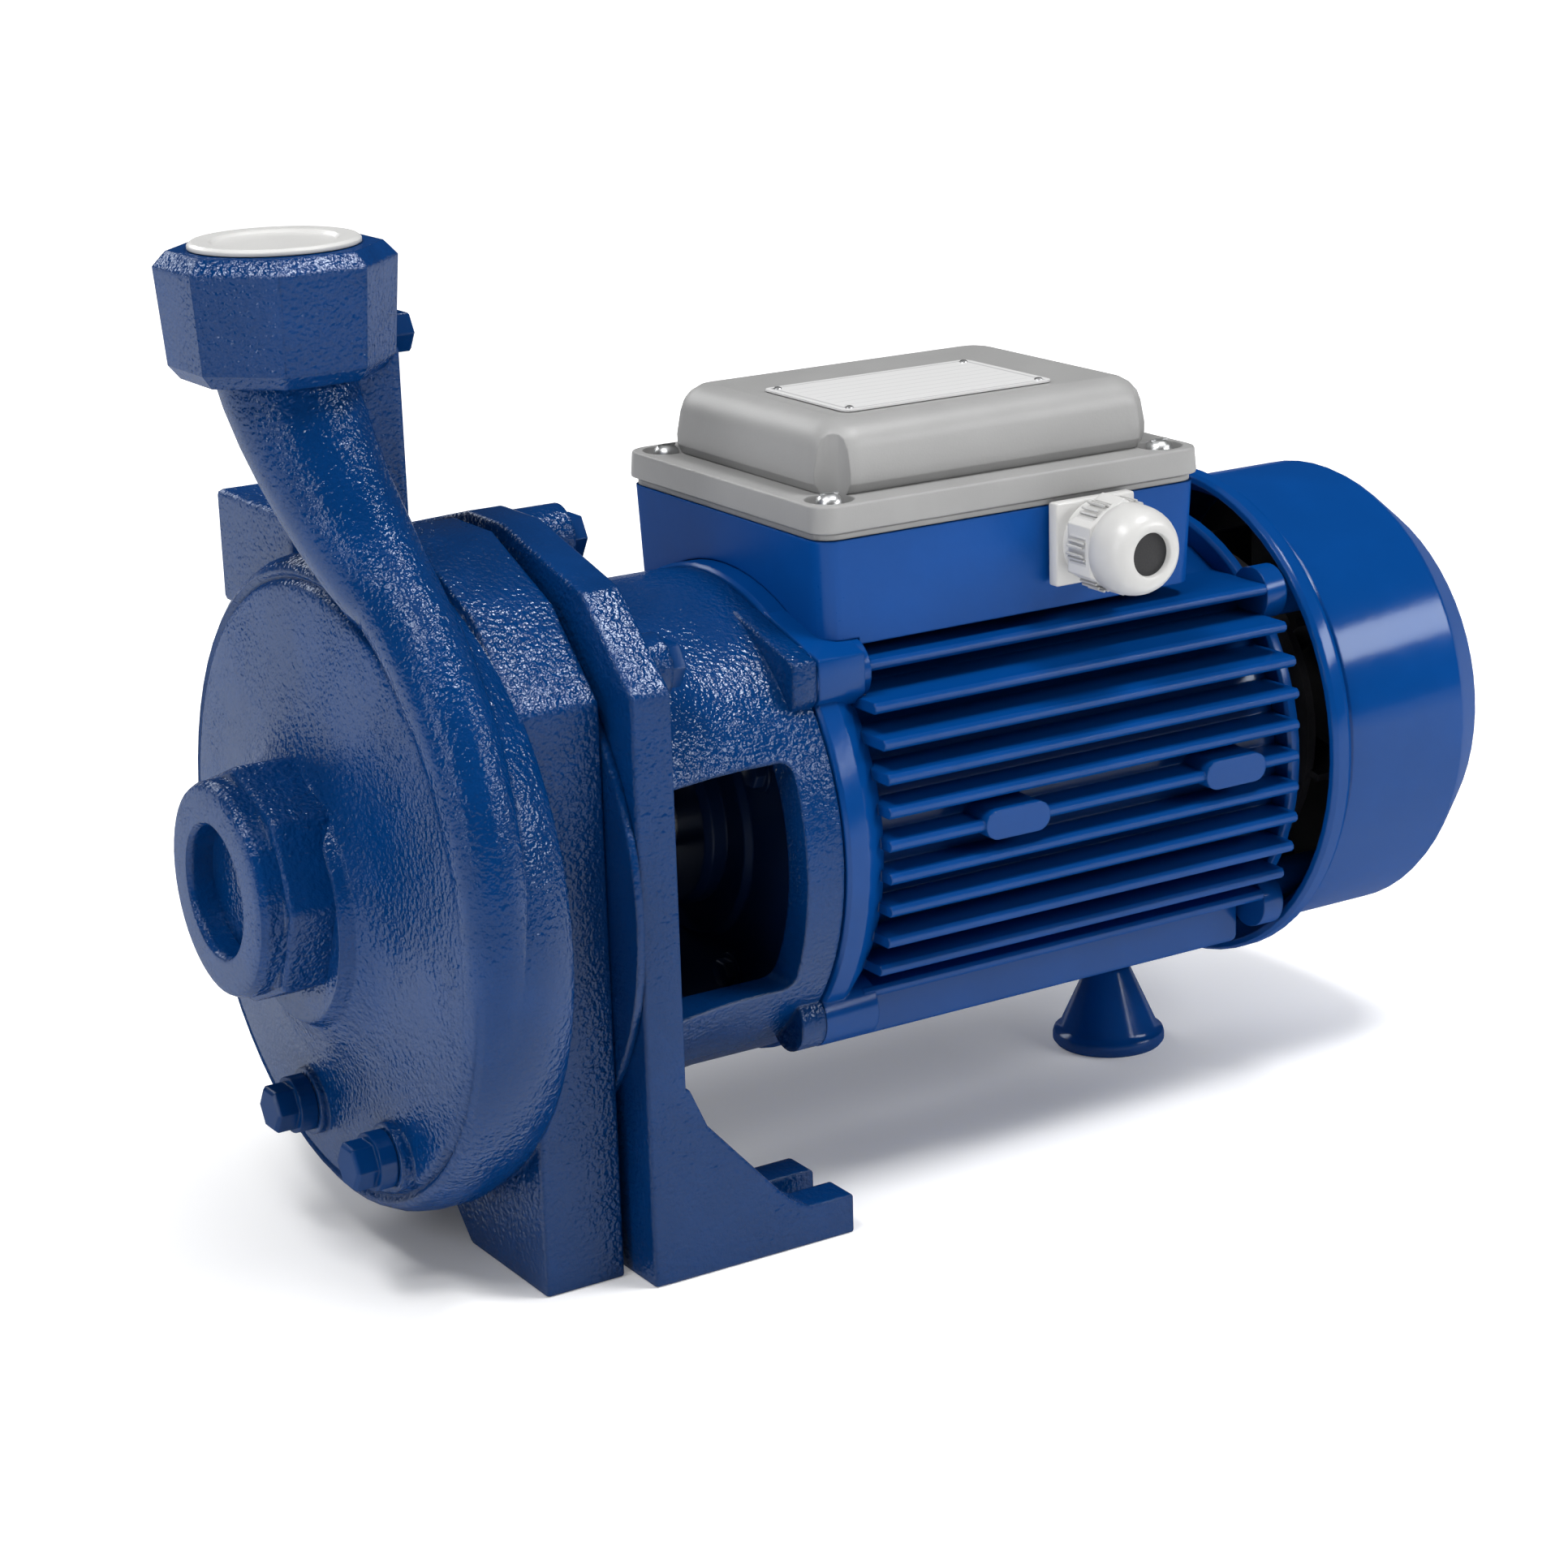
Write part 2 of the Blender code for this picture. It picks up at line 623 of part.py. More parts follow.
def shaft(finish_material):
    front = CASING_FLANGE_THICK - 0.004 - IMPELLER_WIDTH - 0.004
    rear = MOTOR_FRONT - SHIELD_GAP - SHIELD_THICK - GAP
    profile = [(0.0, rear), (SHAFT_RADIUS, rear), (SHAFT_RADIUS, front + 0.001),
               (SHAFT_RADIUS - 0.001, front), (0.0, front)]
    return finish(shaft_turned("shaft", profile, PUMP, False, SMALL_STEPS), finish_material)


def slinger(finish_material):
    bore = SHAFT_RADIUS + GAP
    back = SLINGER_X + SLINGER_THICK
    profile = [(bore, back), (SLINGER_RADIUS, back), (SLINGER_RADIUS, SLINGER_X), (bore, SLINGER_X)]
    return finish(shaft_turned("slinger_ring", profile, PUMP, True, SMALL_STEPS), finish_material)


def bracket_foot_outline():
    start = BRACKET_FRONT + 0.004
    rear = BRACKET_FRONT + BRACKET_FLANGE_THICK
    return [(start, 0.0), (FOOT_LENGTH_END, 0.0), (FOOT_LENGTH_END, FOOT_TAB_THICK),
            (0.084, FOOT_TAB_THICK), (0.077, 0.0165), (0.0495, 0.047), (rear + 0.001, FOOT_WEB_HEIGHT),
            (start, FOOT_WEB_HEIGHT)]


def motor_bracket(finish_material):
    adds = tool_group("bracket_adds")
    cuts = tool_group("bracket_cuts")
    outline = flange_outline(BRACKET_HALF_WIDTH, BRACKET_CORNER_HEIGHT, BRACKET_SHOULDER_HALF,
                             BRACKET_SHOULDER_HEIGHT, BRACKET_CROWN_HALF, BRACKET_CROWN_HEIGHT,
                             FOOT_INNER, 0.010)
    rear = BRACKET_FRONT + BRACKET_FLANGE_THICK
    bracket = cross_slab("motor_bracket", outline, BRACKET_FRONT, rear, PUMP)
    bevel(bracket, 0.0012)
    lantern(adds)
    bracket_feet(adds)
    flange_bosses(adds)
    combine(bracket, adds, "UNION")
    bracket_hollows(cuts)
    combine(bracket, cuts, "DIFFERENCE")
    return finish(bracket, finish_material)


def lantern(adds):
    root = BRACKET_FRONT + BRACKET_FLANGE_THICK - 0.002
    rear = BRACKET_REAR
    radius = LANTERN_RADIUS
    profile = [(0.0, rear), (radius - 0.001, rear), (radius, rear - 0.001), (radius, 0.074),
               (radius + 0.001, 0.064), (radius + 0.003, 0.054), (LANTERN_ROOT_RADIUS, root),
               (0.0, root)]
    shaft_turned("lantern_shell", profile, adds, steps=ROUND_STEPS)
    for y, z in diagonal_places(BOLT_CIRCLE_RADIUS):
        length = UPPER_LUG_LENGTH if z > SHAFT_HEIGHT else LOWER_LUG_LENGTH
        rod("bracket_lug", BOLT_LUG_RADIUS, rear - length, rear, adds, y, z)


def bracket_feet(adds):
    for sign in (-1.0, 1.0):
        middle = sign * (BRACKET_HALF_WIDTH + FOOT_INNER) / 2
        width = BRACKET_HALF_WIDTH - FOOT_INNER
        stand = Matrix(((1, 0, 0, 0), (0, 0, -1, 0), (0, 1, 0, 0), (0, 0, 0, 1)))
        place = along(0.0, middle, 0.0) @ stand
        bevel(slab("bracket_foot", bracket_foot_outline(), width, place, adds), 0.001)


def flange_bosses(adds):
    start = BRACKET_FRONT + 0.004
    crown_z = BRACKET_CROWN_HEIGHT - CROWN_BOSS_RADIUS - 0.0015
    rod("crown_boss", CROWN_BOSS_RADIUS, start, CROWN_BOSS_END, adds, CROWN_BOSS_Y, crown_z)
    corner_y = (BRACKET_HALF_WIDTH + BRACKET_SHOULDER_HALF) / 2 - 0.005
    corner_z = (BRACKET_CORNER_HEIGHT + BRACKET_SHOULDER_HEIGHT) / 2 - CORNER_BOSS_RADIUS
    for sign in (-1.0, 1.0):
        rod("corner_boss", CORNER_BOSS_RADIUS, start, CORNER_BOSS_END, adds, sign * corner_y, corner_z)


def bracket_hollows(cuts):
    front = BRACKET_FRONT - 0.002
    rear = BRACKET_REAR + 0.002
    bore = LANTERN_BORE_RADIUS
    profile = [(0.0, rear), (bore, rear), (bore, 0.055), (BRACKET_BORE_RADIUS, 0.050),
               (BRACKET_BORE_RADIUS, front), (0.0, front)]
    shaft_turned("lantern_bore", profile, cuts)
    low = (BRACKET_FRONT + BRACKET_FLANGE_THICK, -0.120, WINDOW_BOTTOM)
    high = (WINDOW_END, 0.120, WINDOW_TOP)
    bevel(block("window_cut", low, high, cuts), 0.004, 3)
    for sign in (-1.0, 1.0):
        middle = sign * (BRACKET_HALF_WIDTH + FOOT_INNER) / 2
        half = FOOT_SLOT_WIDTH / 2
        low = (FOOT_SLOT_START, middle - half, -0.002)
        high = (FOOT_LENGTH_END + 0.002, middle + half, FOOT_TAB_THICK + 0.012)
        block("foot_slot", low, high, cuts)


def end_shield(finish_material):
    rear = MOTOR_FRONT - SHIELD_GAP
    front = rear - SHIELD_THICK
    bore = SHAFT_RADIUS + SHAFT_CLEARANCE
    hub = SHIELD_HUB_RADIUS
    profile = [(0.0, rear), (SHIELD_RADIUS, rear), (SHIELD_RADIUS, front + 0.002),
               (SHIELD_RADIUS - 0.002, front), (hub + 0.012, front), (hub + 0.010, front - 0.002),
               (hub, front - 0.002), (hub, front - 0.007), (hub - 0.002, front - 0.009),
               (bore, front - 0.009), (bore, front), (0.0, front)]
    return finish(shaft_turned("front_end_shield", profile, PUMP), finish_material)


def barrel_edge(z):
    return math.sqrt(max(BARREL_RADIUS ** 2 - (z - SHAFT_HEIGHT) ** 2, 0.0))


def finned_outline():
    side = []
    for i in range(FIN_COUNT):
        z = FIN_MIDDLE_HEIGHT + FIN_PITCH * (FIN_COUNT // 2 - i)
        spread = abs(i - FIN_COUNT // 2) / (FIN_COUNT // 2)
        reach = FIN_REACH - 0.017 * spread ** 4
        high = z + FIN_THICK / 2
        low = z - FIN_THICK / 2
        side.append((barrel_edge(high), high))
        side.append((reach - 0.0010, high))
        side.append((reach, z + 0.0006))
        side.append((reach, z - 0.0006))
        side.append((reach - 0.0010, low))
        side.append((barrel_edge(low), low))
    top = crown_arc(1.0, side[0][1])
    bottom = crown_arc(-1.0, side[-1][1])
    near = [(-y, z) for y, z in reversed(side)]
    return top + side + bottom + near


def crown_arc(sign, edge_z):
    reach = math.acos(abs(edge_z - SHAFT_HEIGHT) / BARREL_RADIUS)
    points = []
    count = 6
    for i in range(1, count):
        angle = reach * (2 * i / count - 1)
        y = sign * BARREL_RADIUS * math.sin(angle)
        points.append((y, SHAFT_HEIGHT + sign * BARREL_RADIUS * math.cos(angle)))
    return points


def motor_housing(finish_material):
    adds = tool_group("motor_adds")
    housing = cross_slab("motor_housing", finned_outline(), MOTOR_FLANGE_END - 0.001, MOTOR_REAR, PUMP)
    flange = MOTOR_FLANGE_RADIUS
    back = MOTOR_FLANGE_END
    ring = [(0.0, back + 0.001), (flange - 0.007, back + 0.001), (flange - 0.0055, back - 0.001),
            (flange - 0.0015, back - 0.006), (flange, back - 0.009), (flange, MOTOR_FRONT + 0.001),
            (flange - 0.001, MOTOR_FRONT), (0.0, MOTOR_FRONT)]
    shaft_turned("motor_flange", ring, adds, steps=ROUND_STEPS)
    for y, z in diagonal_places(BOLT_CIRCLE_RADIUS):
        rod("motor_lug", BOLT_LUG_RADIUS, MOTOR_FRONT, back + 0.003, adds, y, z)
    motor_rails(adds)
    box_saddle(adds)
    side_pads(adds)
    combine(housing, adds, "UNION")
    return finish(housing, finish_material)


def motor_rails(adds):
    for sign in (-1.0, 1.0):
        near, far = sorted((sign * RAIL_INNER, sign * RAIL_OUTER))
        rail = block("base_rail", (RAIL_FRONT - 0.004, near, RAIL_BOTTOM),
                     (MOTOR_REAR - 0.001, far, RAIL_TOP + 0.004), adds)
        bevel(rail, 0.0025, 3)


def box_saddle(adds):
    low = (BOX_FRONT + 0.022, -0.040, BOX_BOTTOM - 0.020)
    high = (BOX_REAR - 0.012, 0.040, BOX_BOTTOM - GAP)
    block("box_saddle", low, high, adds)


def side_pads(adds):
    for sign in (-1.0, 1.0):
        for x in (PAD_FRONT_X, PAD_REAR_X):
            outline = rounded_rectangle(PAD_LENGTH / 2, PAD_HALF_HEIGHT, PAD_HALF_HEIGHT - 0.0002)
            stand = Matrix(((1, 0, 0, 0), (0, 0, -1, 0), (0, 1, 0, 0), (0, 0, 0, 1)))
            reach = FIN_REACH - BARREL_RADIUS + 0.006
            middle = sign * (FIN_REACH + 0.0008 - reach / 2)
            place = along(x, middle, FIN_MIDDLE_HEIGHT) @ stand
            slab("side_pad", outline, reach, place, adds)


def rear_shield(finish_material):
    front = MOTOR_REAR + GAP
    back = front + REAR_SHIELD_THICK
    radius = REAR_SHIELD_RADIUS
    adds = tool_group("rear_shield_adds")
    profile = [(0.0, back), (0.024, back), (0.026, back - 0.001), (0.030, back - 0.005),
               (0.060, back - 0.004), (radius - 0.004, back - 0.004), (radius, back - 0.007),
               (radius, front + 0.001), (radius - 0.001, front), (0.0, front)]
    shield = shaft_turned("rear_end_shield", profile, PUMP)
    for y, z in diagonal_places(REAR_LUG_CIRCLE):
        rod("rear_lug", REAR_LUG_RADIUS, front, back - 0.003, adds, y, z)
    seat = FAN_COVER_RADIUS - FAN_COVER_WALL - 0.001 - GAP - COVER_TAB_RADIUS
    for y, z in diagonal_places(seat):
        rod("cover_tab", COVER_TAB_RADIUS, back - 0.005, COVER_TAB_END, adds, y, z)
    rod("rear_shaft_end", SHAFT_RADIUS - 0.001, back - 0.002, FAN_X + FAN_WIDTH + 0.002, adds)
    combine(shield, adds, "UNION")
    return finish(shield, finish_material)


def fan(finish_material):
    bore = SHAFT_RADIUS - 0.001 + GAP
    end = FAN_X + FAN_WIDTH
    rim = FAN_RADIUS - 0.004
    profile = [(bore, end), (0.016, end), (0.018, FAN_X + 0.004), (rim, FAN_X + 0.003),
               (rim, FAN_X), (bore, FAN_X)]
    wheel = shaft_turned("fan", profile, PUMP, True, 48)
    blades = tool_group("fan_blades")
    for i in range(FAN_BLADES):
        turn = Matrix.Rotation(2 * math.pi * i / FAN_BLADES, 4, "X")
        reach = FAN_RADIUS - 0.015
        blade = block("fan_blade", (0.0, 0.0, 0.0), (FAN_WIDTH - 0.004, 0.0025, reach), blades)
        middle = Matrix.Translation((FAN_X + FAN_WIDTH / 2, 0.0, FAN_RADIUS - reach / 2))
        blade.matrix_world = along(0.0) @ turn @ middle
    combine(wheel, blades, "UNION")
    return finish(wheel, finish_material)


def fan_cover(finish_material):
    front = FAN_COVER_FRONT
    lip = FAN_COVER_LIP_RADIUS
    skin = FAN_COVER_RADIUS
    cone = FAN_COVER_CONE_START
    rear = COVER_REAR
    tail = FAN_COVER_REAR_RADIUS
    wall = FAN_COVER_WALL
    profile = [(0.0, rear), (tail - 0.002, rear), (tail, rear - 0.001), (skin - 0.001, cone + 0.002),
               (skin, cone), (skin, front + 0.013), (skin - 0.0012, front + 0.0115),
               (skin - 0.0005, front + 0.010), (lip - 0.0012, front + 0.0075),
               (lip, front + 0.0055), (lip, front + 0.0015), (lip - 0.001, front),
               (lip - 0.003, front), (lip - 0.003, front + 0.005), (skin - wall - 0.001, front + 0.010),
               (skin - wall, front + 0.013), (skin - wall, cone), (tail - wall, rear - wall - 0.001),
               (0.0, rear - wall)]
    cover = shaft_turned("fan_cover", profile, PUMP)
    slots = tool_group("grille_slots")
    length = GRILLE_OUTER_RADIUS - GRILLE_INNER_RADIUS
    for i in range(GRILLE_SLOTS):
        turn = Matrix.Rotation(2 * math.pi * i / GRILLE_SLOTS, 4, "X")
        slot = block("grille_slot", (0.0, 0.0, 0.0), (0.012, GRILLE_SLOT_WIDTH, length), slots)
        middle = GRILLE_INNER_RADIUS + length / 2
        slot.matrix_world = along(0.0) @ turn @ Matrix.Translation((rear, 0.0, middle))
    combine(cover, slots, "DIFFERENCE")
    return finish(cover, finish_material)


def box_middle():
    return (BOX_FRONT + BOX_REAR) / 2


def tapered_box(name, low, high, half_low, half_high, corner, home):
    # Rounded rectangle lofted between two levels; half sizes are (x, y)
    mesh = bpy.data.meshes.new(name)
    shape = bmesh.new()
    rings = []
    for level, half in ((low, half_low), (high, half_high)):
        points = rounded_rectangle(half[0], half[1], corner)
        rings.append([shape.verts.new((u, v, level)) for u, v in points])
    shape.faces.new(list(reversed(rings[0])))
    shape.faces.new(rings[1])
    count = len(rings[0])
    for i in range(count):
        j = (i + 1) % count
        shape.faces.new((rings[0][i], rings[0][j], rings[1][j], rings[1][i]))
    bmesh.ops.recalc_face_normals(shape, faces=shape.faces)
    shape.to_mesh(mesh)
    shape.free()
    return adopt(mesh, name, along(box_middle(), 0.0, 0.0), home)


def terminal_box(finish_material):
    half_x = (BOX_REAR - BOX_FRONT) / 2
    half_y = BOX_HALF_WIDTH
    low = (half_x - BOX_DRAFT, half_y - BOX_DRAFT)
    box = tapered_box("terminal_box", BOX_BOTTOM, BOX_RIM, low, (half_x, half_y), LID_CORNER, PUMP)
    cuts = tool_group("box_cuts")
    rod("barrel_seat", BARREL_RADIUS + GAP, BOX_FRONT - 0.005, BOX_REAR + 0.005, cuts, steps=ROUND_STEPS)
    rod("flange_seat", MOTOR_FLANGE_RADIUS + GAP, BOX_FRONT - 0.005, MOTOR_FLANGE_END + 0.0016, cuts,
        steps=ROUND_STEPS)
    for sign in (-1.0, 1.0):
        y = sign * BOLT_CIRCLE_RADIUS * math.sin(math.radians(45.0))
        z = SHAFT_HEIGHT + abs(y)
        rod("lug_seat", BOLT_LUG_RADIUS + GAP, BOX_FRONT - 0.005, MOTOR_FLANGE_END + 0.0036, cuts, y, z)
    combine(box, cuts, "DIFFERENCE")
    return finish(box, finish_material)


def box_gasket(finish_material):
    half_x = (BOX_REAR - BOX_FRONT) / 2 - 0.0005
    half_y = BOX_HALF_WIDTH - 0.0005
    low = BOX_RIM + GAP
    high = low + GASKET_THICK
    gasket = tapered_box("box_gasket", low, high, (half_x, half_y), (half_x, half_y), LID_CORNER, PUMP)
    cuts = tool_group("gasket_cuts")
    inner = (half_x - 0.004, half_y - 0.004)
    tapered_box("gasket_hollow", low - 0.001, high + 0.001, inner, inner, LID_CORNER - 0.003, cuts)
    combine(gasket, cuts, "DIFFERENCE")
    return finish(gasket, finish_material)


def box_lid(finish_material):
    rim = BOX_RIM + GASKET_THICK + 2 * GAP
    half_x = (BOX_REAR - BOX_FRONT) / 2 + LID_OVERHANG
    half_y = BOX_HALF_WIDTH + LID_OVERHANG
    shoulder = rim + LID_RIM_THICK
    lid = tapered_box("box_cover", rim, shoulder, (half_x, half_y), (half_x - 0.0005, half_y - 0.0005),
                      LID_CORNER, PUMP)
    bevel(lid, 0.0008)
    adds = tool_group("lid_adds")
    inset = LID_DOME_INSET
    foot = (half_x - inset, half_y - inset)
    crown = (half_x - inset - 0.0035, half_y - inset - 0.0035)
    dome = tapered_box("lid_dome", shoulder - 0.002, LID_TOP, foot, crown, 0.012, adds)
    bevel(dome, LID_DOME_ROUNDING, 4, 50.0)
    combine(lid, adds, "UNION")
    cuts = tool_group("lid_cuts")
    inner = (half_x - inset - 0.006, half_y - inset - 0.006)
    tapered_box("lid_hollow", rim - 0.001, LID_TOP - 0.006, inner, inner, 0.008, cuts)
    for sign_x in (-1.0, 1.0):
        for sign_y in (-1.0, 1.0):
            x = box_middle() + sign_x * (half_x - 0.0105)
            upright("screw_pocket", [(0.0, 0.26), (0.0085, 0.26), (0.0075, shoulder - 0.003),
                                     (0.0, shoulder - 0.003)], x, sign_y * (half_y - 0.0105), cuts)
    combine(lid, cuts, "DIFFERENCE")
    return finish(lid, finish_material)


def rating_plate(finish_material):
    outline = rounded_rectangle(PLATE_LENGTH / 2, PLATE_WIDTH / 2, 0.003)
    place = along(PLATE_X, PLATE_Y, LID_TOP + GAP + PLATE_THICK / 2)
    return finish(slab("rating_plate", outline, PLATE_THICK, place, PUMP), finish_material)


def gland_place(depth):
    toward = Matrix(((1, 0, 0, 0), (0, 0, 1, 0), (0, -1, 0, 0), (0, 0, 0, 1)))
    return along(GLAND_X, depth, GLAND_HEIGHT) @ toward


def gland_parts(plastic):
    seat = -(BOX_HALF_WIDTH + GAP + 0.0002)
    half = GLAND_PLATE_SIDE / 2
    outline = rounded_rectangle(half, half, 0.004)
    plate = slab("gland_plate", outline, GLAND_PLATE_THICK,
                 gland_place(seat - GLAND_PLATE_THICK / 2), PUMP)
    bevel(plate, 0.0008)
    bore = GLAND_BORE_RADIUS
    start = seat - GLAND_PLATE_THICK - GAP
    length = GLAND_HEX_LENGTH
    collar = [(bore, 0.0), (GLAND_HEX_RADIUS, 0.0), (GLAND_HEX_RADIUS, -length), (bore, -length)]
    body = turned("gland_body", collar, gland_place(start), PUMP, True, 6)
    nut_length = GLAND_NUT_LENGTH
    radius = GLAND_NUT_RADIUS
    dome = [(bore, 0.0), (radius - 0.0015, 0.0), (radius, -0.0015), (radius, -0.010),
            (radius - 0.0012, -0.014), (radius - 0.004, -0.018), (radius - 0.0075, -nut_length + 0.001),
            (bore + 0.0008, -nut_length), (bore, -nut_length + 0.001)]
    nut = turned("gland_nut", dome, gland_place(start - length - GAP), PUMP, True, SMALL_STEPS)
    return [finish(plate, plastic), finish(body, plastic), finish(nut, plastic)]


def support_foot(finish_material):
    rim = PROP_RADIUS
    profile = [(0.0, PROP_HEIGHT), (PROP_TOP_RADIUS, PROP_HEIGHT),
               (PROP_TOP_RADIUS + 0.0009, PROP_HEIGHT - 0.0009), (rim - 0.0026, PROP_LIP_HEIGHT + 0.0013),
               (rim - 0.0015, PROP_LIP_HEIGHT), (rim - 0.0004, PROP_LIP_HEIGHT - 0.0008),
               (rim, PROP_LIP_HEIGHT - 0.0021), (rim, 0.0012), (rim - 0.0009, 0.0), (0.0, 0.0)]
    return finish(upright("support_foot", profile, PROP_X, 0.0, PUMP, False, 48), finish_material)


def foot_stud(finish_material):
    low = PROP_HEIGHT + GAP
    high = SHAFT_HEIGHT - BARREL_RADIUS - GAP - 0.0006
    profile = [(0.0, high), (0.0090, high), (0.0090, high - 0.006), (PROP_STUD_RADIUS, high - 0.006),
               (PROP_STUD_RADIUS, low), (0.0, low)]
    return finish(upright("foot_stud", profile, PROP_X, 0.0, PUMP), finish_material)


def build():
    cast_blue = material("casing_paint", (0.010, 0.075, 0.245), 0.35, 0.0)
    motor_blue = material("motor_paint", (0.008, 0.060, 0.210), 0.25, 0.0)
    grey = material("cover_grey", (0.330, 0.340, 0.350), 0.45, 0.0)
    white = material("white_plastic", (0.780, 0.780, 0.760), 0.40, 0.0)
    steel = material("bright_steel", (0.620, 0.630, 0.640), 0.30, 1.0)
    black = material("black_rubber", (0.020, 0.020, 0.022), 0.70, 0.0)
    bronze = material("impeller_brass", (0.620, 0.440, 0.180), 0.35, 1.0)
    dark = material("shield_dark", (0.020, 0.030, 0.060), 0.50, 0.0)
    pump_body(cast_blue)
    drain_plugs(cast_blue)
    priming_plug(steel)
    discharge_cap(white)
    casing_cover(steel)
    impeller(bronze)
    shaft(steel)
    slinger(black)
    motor_bracket(cast_blue)
    end_shield(dark)
    motor_housing(motor_blue)
    rear_shield(dark)
    fan(black)
    fan_cover(motor_blue)
    terminal_box(motor_blue)
    box_gasket(black)
    box_lid(grey)
    rating_plate(steel)
    gland_parts(white)
    support_foot(motor_blue)
    foot_stud(steel)


build()
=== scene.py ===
"""Looks for a centrifugal water pump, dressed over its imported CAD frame.

The pump lies along +X: suction port at -X, fan cover at +X, cable gland on
the -Y side, floor at z = 0. Every length is in metres.
"""

import json
import logging
import math
from dataclasses import dataclass, field
from enum import Enum
from typing import Dict, List, Optional, Sequence, Tuple, Union

import bmesh
import bpy
from mathutils import Matrix, Vector

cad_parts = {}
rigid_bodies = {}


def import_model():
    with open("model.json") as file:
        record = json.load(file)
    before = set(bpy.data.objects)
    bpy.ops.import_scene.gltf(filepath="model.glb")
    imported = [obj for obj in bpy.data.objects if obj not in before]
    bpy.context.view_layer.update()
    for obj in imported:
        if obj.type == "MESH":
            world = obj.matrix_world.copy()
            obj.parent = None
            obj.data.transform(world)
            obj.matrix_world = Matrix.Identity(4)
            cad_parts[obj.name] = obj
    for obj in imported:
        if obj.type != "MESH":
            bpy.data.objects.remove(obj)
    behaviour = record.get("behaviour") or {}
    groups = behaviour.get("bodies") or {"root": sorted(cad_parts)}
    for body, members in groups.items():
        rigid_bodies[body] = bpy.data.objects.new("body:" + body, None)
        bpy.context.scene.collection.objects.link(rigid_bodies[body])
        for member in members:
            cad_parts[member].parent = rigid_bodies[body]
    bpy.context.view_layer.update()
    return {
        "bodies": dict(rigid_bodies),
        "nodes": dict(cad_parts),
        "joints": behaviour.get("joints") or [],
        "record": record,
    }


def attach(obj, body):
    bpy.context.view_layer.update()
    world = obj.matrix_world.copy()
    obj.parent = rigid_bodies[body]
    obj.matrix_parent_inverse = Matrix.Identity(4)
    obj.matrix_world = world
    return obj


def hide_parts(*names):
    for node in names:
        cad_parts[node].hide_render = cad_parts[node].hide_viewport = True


LOG = logging.getLogger("pump_scene")
SHAFT_Z = 0.114
SHIFT_X = -0.1515
PLATE_MIDDLE = (0.175, -0.011)
BEVEL_STEPS = 2
CORNERS = ((-1.0, -1.0), (-1.0, 1.0), (1.0, -1.0), (1.0, 1.0))
UNDERCOAT_ROUGHNESS = 0.6

Colour = Tuple[float, float, float]
Point = Tuple[float, float, float]
Profile = Sequence[Tuple[float, float]]
Operand = Union["Value", float]
Tint = Union["Value", Colour]

GLOSS_TINT: Colour = (0.80, 0.88, 1.0)


def station(x: float, y: float = 0.0, z: float = SHAFT_Z) -> Vector:
    """Turn a distance behind the front face of the casing flange into a point of the frame."""
    return Vector((x + SHIFT_X, y, z))


class Facing(Enum):
    """The way in which a turned or faceted piece points."""

    FRONT = "-X"
    REAR = "+X"
    NEAR = "-Y"
    UP = "+Z"

    def matrix(self, place: Vector) -> Matrix:
        """Place local +Z along this direction at a point.

        Args:
            place: the origin of the piece, in frame coordinates.

        Returns:
            The placing matrix.
        """
        turns = {
            Facing.FRONT: Matrix.Rotation(-math.pi / 2, 4, "Y"),
            Facing.REAR: Matrix.Rotation(math.pi / 2, 4, "Y"),
            Facing.NEAR: Matrix.Rotation(math.pi / 2, 4, "X"),
            Facing.UP: Matrix.Identity(4),
        }
        return Matrix.Translation(place) @ turns[self]


class Value:
    """A shader socket that takes part in ordinary arithmetic."""

    def __init__(self, graph: "Graph", socket: bpy.types.NodeSocket) -> None:
        """Wrap an output socket of a node in the graph."""
        self.graph = graph
        self.socket = socket

    def _math(self, operation: str, first: Operand, second: Optional[Operand] = None,
              clamp: bool = False) -> "Value":
        """Add one maths node.

        Args:
            operation: the node's operation.
            first: first operand.
            second: second operand, if any.
            clamp: whether the result is held between 0 and 1.

        Returns:
            The node's result.
        """
        given = [item for item in (first, second) if item is not None]
        return self.graph.node("ShaderNodeMath", {"operation": operation, "use_clamp": clamp},
                               dict(enumerate(given)))

    def __add__(self, other: Operand) -> "Value":
        """Add."""
        return self._math("ADD", self, other)

    def __radd__(self, other: Operand) -> "Value":
        """Add to a number."""
        return self._math("ADD", other, self)

    def __sub__(self, other: Operand) -> "Value":
        """Subtract."""
        return self._math("SUBTRACT", self, other)

    def __rsub__(self, other: Operand) -> "Value":
        """Subtract from a number."""
        return self._math("SUBTRACT", other, self)

    def __mul__(self, other: Operand) -> "Value":
        """Multiply."""
        return self._math("MULTIPLY", self, other)

    def __rmul__(self, other: Operand) -> "Value":
        """Multiply a number."""
        return self._math("MULTIPLY", other, self)

    def __truediv__(self, other: Operand) -> "Value":
        """Divide."""
        return self._math("DIVIDE", self, other)

    def clamp(self) -> "Value":
        """Hold the value between 0 and 1."""
        return self._math("ADD", self, 0.0, clamp=True)

    def size(self) -> "Value":
        """Drop the sign."""
        return self._math("ABSOLUTE", self)

    def root(self) -> "Value":
        """Take the square root."""
        return self._math("SQRT", self)

    def fold(self, step: float) -> "Value":
        """Run up to the step and back down again, over and over."""
        return self._math("PINGPONG", self, step)

    def ramp(self, low: float, high: float) -> "Value":
        """Rise smoothly from 0 at low to 1 at high."""
        return self.graph.node("ShaderNodeMapRange", {"interpolation_type": "SMOOTHSTEP"},
                               {"Value": self, "From Min": low, "From Max": high})


